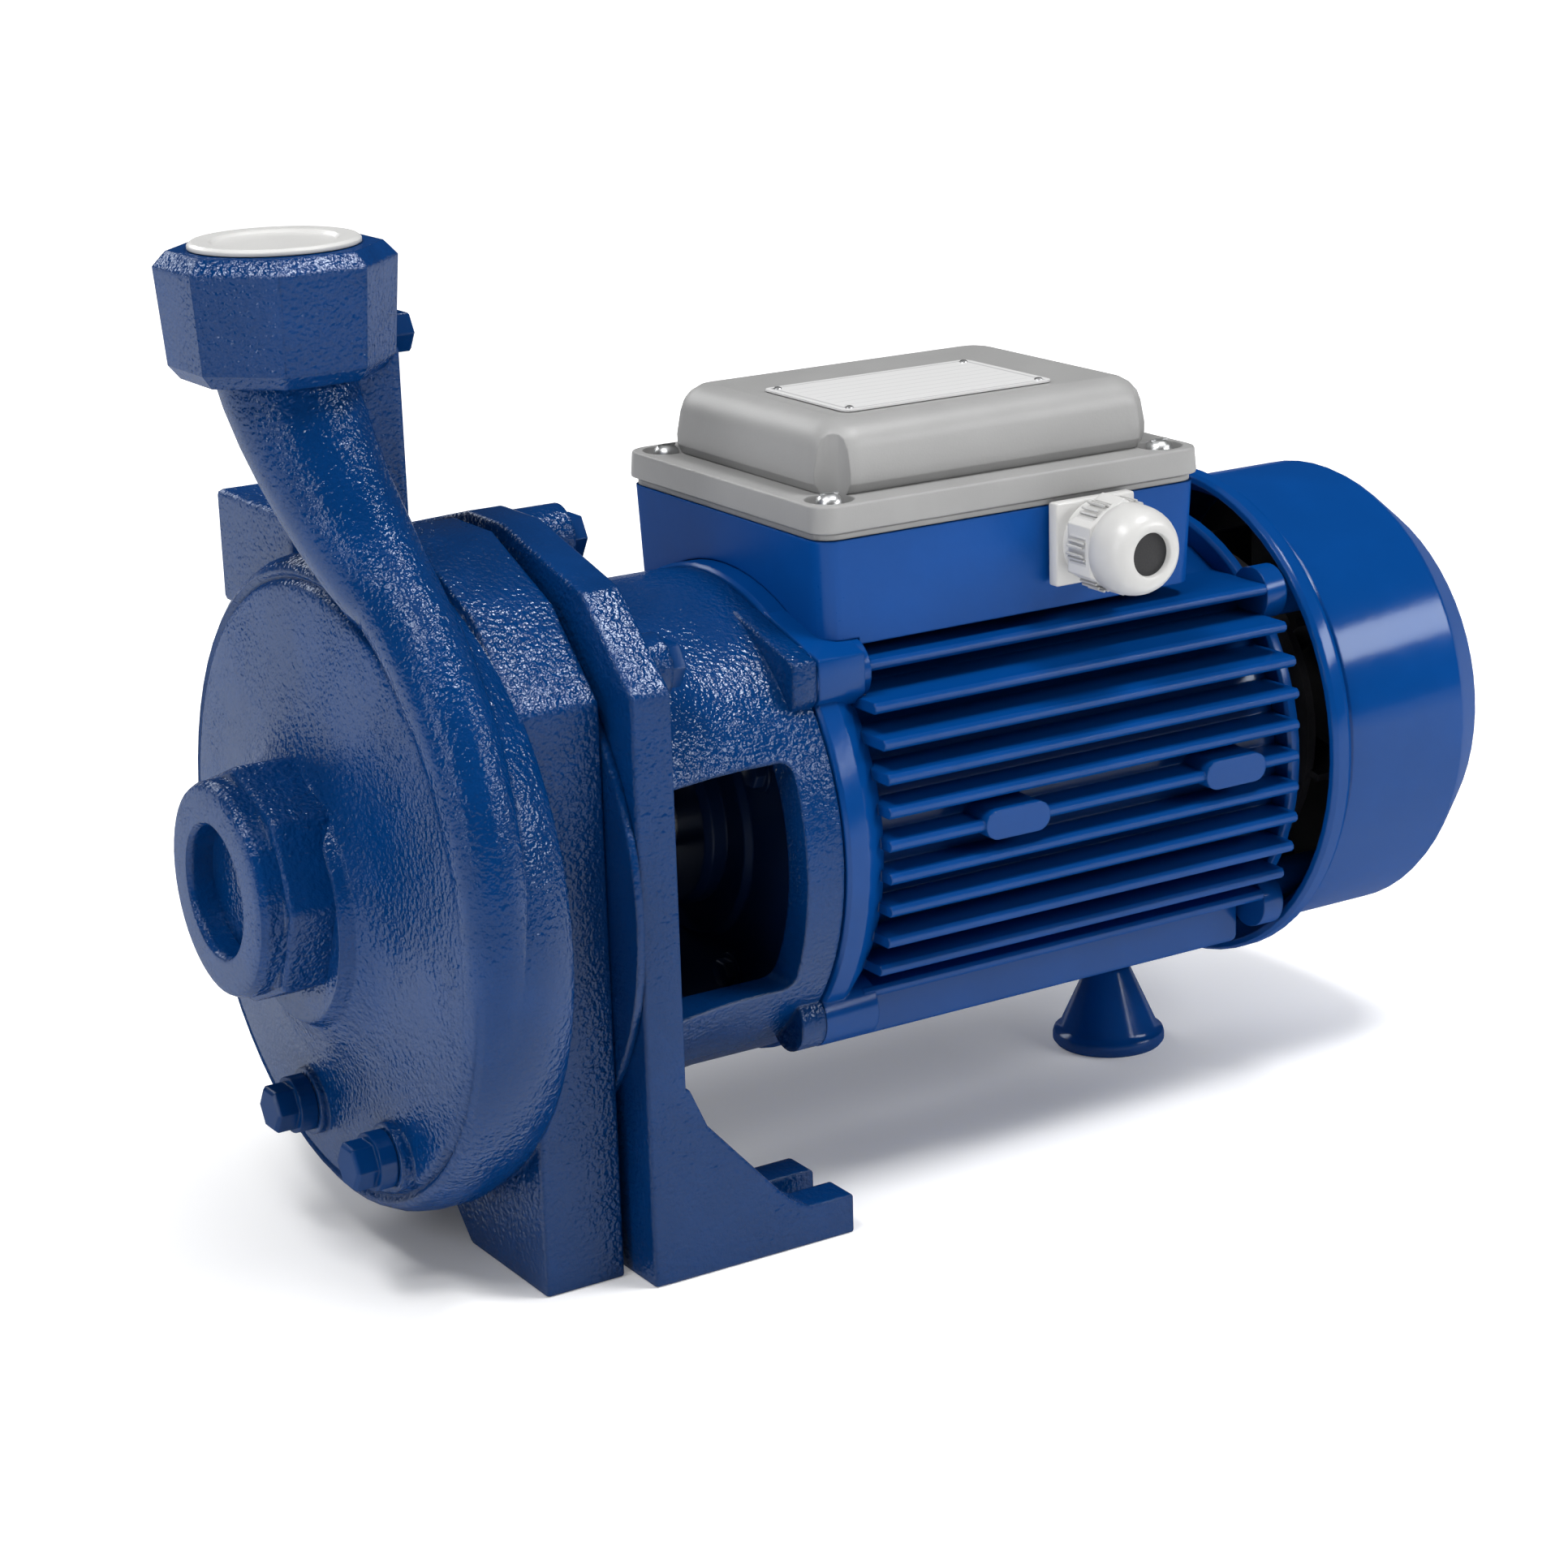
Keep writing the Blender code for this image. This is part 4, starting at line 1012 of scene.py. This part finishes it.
@dataclass
class ShadeDisc:
    """Plain black disc behind the grille: painted shade that closes the view through the cowl."""

    palette: Palette
    front: float = 0.3475
    radius: float = 0.0752
    thickness: float = 0.0008

    def build(self) -> List[bpy.types.Object]:
        """Build the disc.

        Returns:
            The piece.
        """
        # Painted shade: a black disc that darkens the view through the grille.
        shape = Shape("cowl_shade_disc")
        profile = [(0.0, 0.0), (self.radius, 0.0), (self.radius, self.thickness), (0.0, self.thickness)]
        shape.lathe(profile, Facing.REAR.matrix(station(self.front)), 48)
        return [shape.done(self.palette["black_rubber"])]


@dataclass
class Gland:
    """Cable gland: square plate, ribbed hexagon, dome and dark bore."""

    palette: Palette
    x: float = 0.2093
    z: float = 0.1968
    seat: float = -0.0584
    plate_half: Tuple[float, float] = (0.0152, 0.0132)
    plate_face: float = -0.0628
    plate_edge: float = 0.0009
    neck_radius: float = 0.0128
    neck_sink: float = 0.0005
    hex_radius: float = 0.0154
    hex_start: float = -0.0662
    hex_end: float = -0.0775
    hex_edge: float = 0.0008
    ribs_to_side: int = 4
    rib_pitch: float = 0.00155
    rib_width: float = 0.0007
    rib_share: float = 0.72
    joint: float = 0.0006
    dome_radius: float = 0.0141
    dome_steps: int = 8
    dome_straight: float = 0.30
    mouth_lip: float = 0.0012
    tip: float = -0.0915
    bore: float = 0.0068
    bore_depth: float = 0.0030

    def build(self) -> List[bpy.types.Object]:
        """Build the gland.

        Returns:
            The pieces.
        """
        white = self.palette["white_plastic"]
        plate = Shape("gland_plate_face")
        middle = (self.seat + self.plate_face) / 2
        size = (2 * self.plate_half[0], self.seat - self.plate_face, 2 * self.plate_half[1])
        plate.block(size, Matrix.Translation(station(self.x, middle, self.z)), self.plate_edge)
        plate_face = plate.done(white)
        body = self._body().done(white, 28.0)
        dome = self._dome().done(white, 40.0)
        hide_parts("gland_plate")
        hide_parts("gland_body")
        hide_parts("gland_nut")
        bore = Shape("gland_bore")
        bore.drum(self.bore + 0.0002, 0.0008, self._place(self.tip + self.bore_depth), 32)
        return [plate_face, body, dome, bore.done(self.palette["black_rubber"])]

    def _place(self, depth: float) -> Matrix:
        """Face the near side at a y on the gland's axis."""
        return Facing.NEAR.matrix(station(self.x, depth, self.z))

    def _body(self) -> "Shape":
        """Build the round neck and the ribbed hexagon.

        Returns:
            The shape.
        """
        body = Shape("gland_hexagon")
        neck = self.plate_face + self.neck_sink
        body.drum(self.neck_radius, neck - self.hex_start, self._place(neck), 40)
        length = self.hex_start - self.hex_end
        body.drum(self.hex_radius, length, self._place(self.hex_start), 6, self.hex_edge)
        flat = self.hex_radius * math.cos(math.radians(30.0))
        middle = (self.hex_start + self.hex_end) / 2 + self.joint
        centre = Matrix.Translation(station(self.x, middle, self.z))
        for side in range(6):
            turn = Matrix.Rotation(math.radians(60.0 * side + 30.0), 4, "Y")
            for step in range(-self.ribs_to_side, self.ribs_to_side + 1):
                spot = Matrix.Translation((flat, 0.0, step * self.rib_pitch))
                rib = (self.rib_width, length * self.rib_share, self.rib_width)
                body.block(rib, centre @ turn @ spot)
        return body

    def _dome(self) -> "Shape":
        """Build the rounded nose with its bore.

        Returns:
            The shape.
        """
        dome = Shape("gland_dome")
        start = self.hex_end + self.joint
        length = start - self.tip
        radius = self.dome_radius
        mouth = self.bore
        lip = mouth + self.mouth_lip
        straight = self.dome_straight
        profile = [(mouth, 0.0), (radius - 0.0006, 0.0), (radius, 0.0008), (radius, length * straight)]
        for step in range(1, self.dome_steps):
            angle = math.radians(90.0 * step / self.dome_steps)
            profile.append((lip + (radius - lip) * math.cos(angle),
                            length * (straight + (1.0 - straight) * math.sin(angle))))
        profile += [(lip, length), (mouth + 0.0003, length - 0.0004), (mouth, length - self.mouth_lip),
                    (mouth, 0.0)]
        return dome.lathe(profile, self._place(start), 48)


@dataclass
class PlateRivets:
    """Rivets at the corners of the data plate."""

    palette: Palette
    middle: Tuple[float, float] = PLATE_MIDDLE
    reach: Tuple[float, float] = (0.0355, 0.0205)
    top: float = 0.2424
    section: Profile = ((0.0, 0.0007), (0.0008, 0.0006), (0.0013, 0.0003), (0.0014, 0.0), (0.0, 0.0))

    def build(self) -> List[bpy.types.Object]:
        """Build the rivets.

        Returns:
            The piece.
        """
        shape = Shape("plate_rivets")
        for sign_x, sign_y in CORNERS:
            spot = station(self.middle[0] + sign_x * self.reach[0],
                           self.middle[1] + sign_y * self.reach[1], self.top)
            shape.lathe(self.section, Facing.UP.matrix(spot), 16)
        return [shape.done(self.palette["bright_steel"])]


@dataclass(frozen=True)
class SoftBox:
    """One rectangular lamp: where it hangs, its sides in metres and its power in watts."""

    name: str
    place: Point
    size: Tuple[float, float]
    power: float

    def build(self, target: Vector) -> None:
        """Hang the lamp, aimed at a target."""
        data = bpy.data.lights.new(self.name, "AREA")
        data.shape = "RECTANGLE"
        data.size, data.size_y = self.size
        data.energy = self.power
        hang(self.name, data, Vector(self.place), target - Vector(self.place))


def hang(name: str, data: bpy.types.Light, place: Vector, aim: Vector) -> None:
    """Add a light to the studio.

    Args:
        name: the light's name.
        data: its settings.
        place: where it hangs.
        aim: the direction in which it shines.
    """
    lamp = bpy.data.objects.new(name, data)
    bpy.context.scene.collection.objects.link(lamp)
    lamp.matrix_world = Matrix.Translation(place) @ aim.to_track_quat("-Z", "Y").to_matrix().to_4x4()


@dataclass
class Studio:
    """Camera, floor and light, none of which is part of the pump.

    The camera was fitted to the photo. The floor glows with growing distance from the line below
    the pump, which is given by its middle and half its length: the near glow is painted light that lifts
    the floor's shadow round the pump and leaves painted shade under it, and the far glow fades the floor
    into the backdrop. Each glow is the distance at which it starts, the distance at which it is full and
    its strength.
    """

    eye: Point = (-0.5911, -0.9256, 0.4458)
    right: Point = (0.84621, -0.53203, -0.02954)
    up: Point = (0.17753, 0.22923, 0.95704)
    forward: Point = (0.50240, 0.81511, -0.28843)
    focal: float = 81.49
    sensor: float = 36.0
    shift: Tuple[float, float] = (0.0013, -0.0027)
    floor_half: float = 9.0
    shade_middle: float = -0.05
    shade_half: float = 0.10
    painted_light_near: Tuple[float, float, float] = (-0.02, 0.22, 0.50)
    far_glow: Tuple[float, float, float] = (0.4, 2.2, 0.55)
    least_glow: float = 0.01
    room_strength: float = 0.08
    sky_energy: float = 0.40
    sky_angle: float = 62.0
    sky_aim: Point = (0.05, 0.05, -1.0)
    target: Point = (-0.02, 0.0, 0.16)
    boxes: Tuple[SoftBox, ...] = (
        SoftBox("top_box", (0.42, -0.42, 1.45), (0.38, 0.28), 12.0),
        SoftBox("ridge_box", (-0.68, -0.10, 1.40), (0.34, 0.26), 7.5),
        SoftBox("crest_box", (-0.69, -0.47, 1.26), (0.26, 0.20), 4.5),
        SoftBox("facet_box", (0.60, -1.25, 0.71), (0.20, 0.18), 1.8),
        SoftBox("right_box", (1.10, -0.98, 0.80), (0.70, 0.30), 8.5),
        SoftBox("left_strip", (-1.35, -0.35, 0.62), (0.16, 0.80), 5.0),
        SoftBox("back_box", (-0.30, 1.35, 0.95), (1.00, 0.30), 7.0))

    def build(self) -> None:
        """Build the camera, floor, world and lights."""
        self._camera()
        self._floor()
        self._world()
        self._sky()
        for box in self.boxes:
            box.build(Vector(self.target))

    def _camera(self) -> None:
        """Set the camera at the photo's viewing angle."""
        data = bpy.data.cameras.new("photo_camera")
        data.sensor_width = self.sensor
        data.lens = self.focal
        data.shift_x, data.shift_y = self.shift
        data.clip_start = 0.05
        data.clip_end = 60.0
        camera = bpy.data.objects.new("photo_camera", data)
        bpy.context.scene.collection.objects.link(camera)
        axes = Matrix((self.right, self.up, tuple(-part for part in self.forward))).transposed()
        camera.matrix_world = Matrix.Translation(self.eye) @ axes.to_4x4()
        bpy.context.scene.camera = camera

    def _floor(self) -> None:
        """Lay a wide pale floor."""
        shape = bmesh.new()
        bmesh.ops.create_grid(shape, x_segments=1, y_segments=1, size=self.floor_half)
        data = bpy.data.meshes.new("studio_floor")
        shape.to_mesh(data)
        shape.free()
        g = Graph("studio_floor")
        haze = g.noise(0.6, 2.0, 0.5)
        tone = g.blend(haze.ramp(0.3, 0.7), (0.85, 0.85, 0.85), (0.87, 0.87, 0.87))
        x, y, _ = g.axes()
        past = ((x - self.shade_middle).size() - self.shade_half).clamp()
        away = (past * past + y * y).root()
        near_start, near_full, near = self.painted_light_near
        far_start, far_full, far = self.far_glow
        # Painted light: the floor's glow rises with distance from the pump and lifts its shadow there; it
        # stays low under the pump as painted shade.
        level = away.ramp(near_start, near_full) * near + away.ramp(far_start, far_full) * far
        level = level + self.least_glow
        glow = g.blend(level, (0.0, 0.0, 0.0), (1.0, 1.0, 1.0))
        data.materials.append(g.surface(Base_Color=tone, Roughness=0.55 + 0.05 * haze,
                                        Emission_Color=glow, Emission_Strength=1.0,
                                        Specular_IOR_Level=0.2))
        floor = bpy.data.objects.new("studio_floor", data)
        bpy.context.scene.collection.objects.link(floor)

    def _world(self) -> None:
        """Light the room evenly and dimly in white."""
        world = bpy.data.worlds.new("studio")
        world.use_nodes = True
        back = world.node_tree.nodes["Background"]
        back.inputs["Color"].default_value = (1.0, 1.0, 1.0, 1.0)
        back.inputs["Strength"].default_value = self.room_strength
        bpy.context.scene.world = world
        bpy.context.scene.view_settings.view_transform = "Standard"

    def _sky(self) -> None:
        """Hang one broad soft light overhead, leaning to the near side."""
        data = bpy.data.lights.new("overhead", "SUN")
        data.energy = self.sky_energy
        data.angle = math.radians(self.sky_angle)
        hang("overhead", data, Vector((0.0, 0.0, 0.0)), Vector(self.sky_aim))


def main() -> None:
    """Dress the frame, piece by piece, and light it."""
    logging.basicConfig(level=logging.INFO, format="%(message)s")
    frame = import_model()
    palette = Palette()
    palette.build()
    LOG.info("finished %d frame nodes", FrameFinish(palette).build(frame["nodes"]))
    for skin in RoundedSkins(palette).build(frame["nodes"]):
        LOG.info("%s: %d faces", skin.name, len(skin.data.polygons))
    for part in (BoxScrews(palette), ShieldScrews(palette), FlangeBolts(palette), CornerBlocks(palette),
                 SuctionOctagon(palette), ShadeDisc(palette), Gland(palette), PlateRivets(palette)):
        for piece in part.build():
            LOG.info("%s: %d faces", piece.name, len(piece.data.polygons))
    Studio().build()


if __name__ == "__main__":
    main()
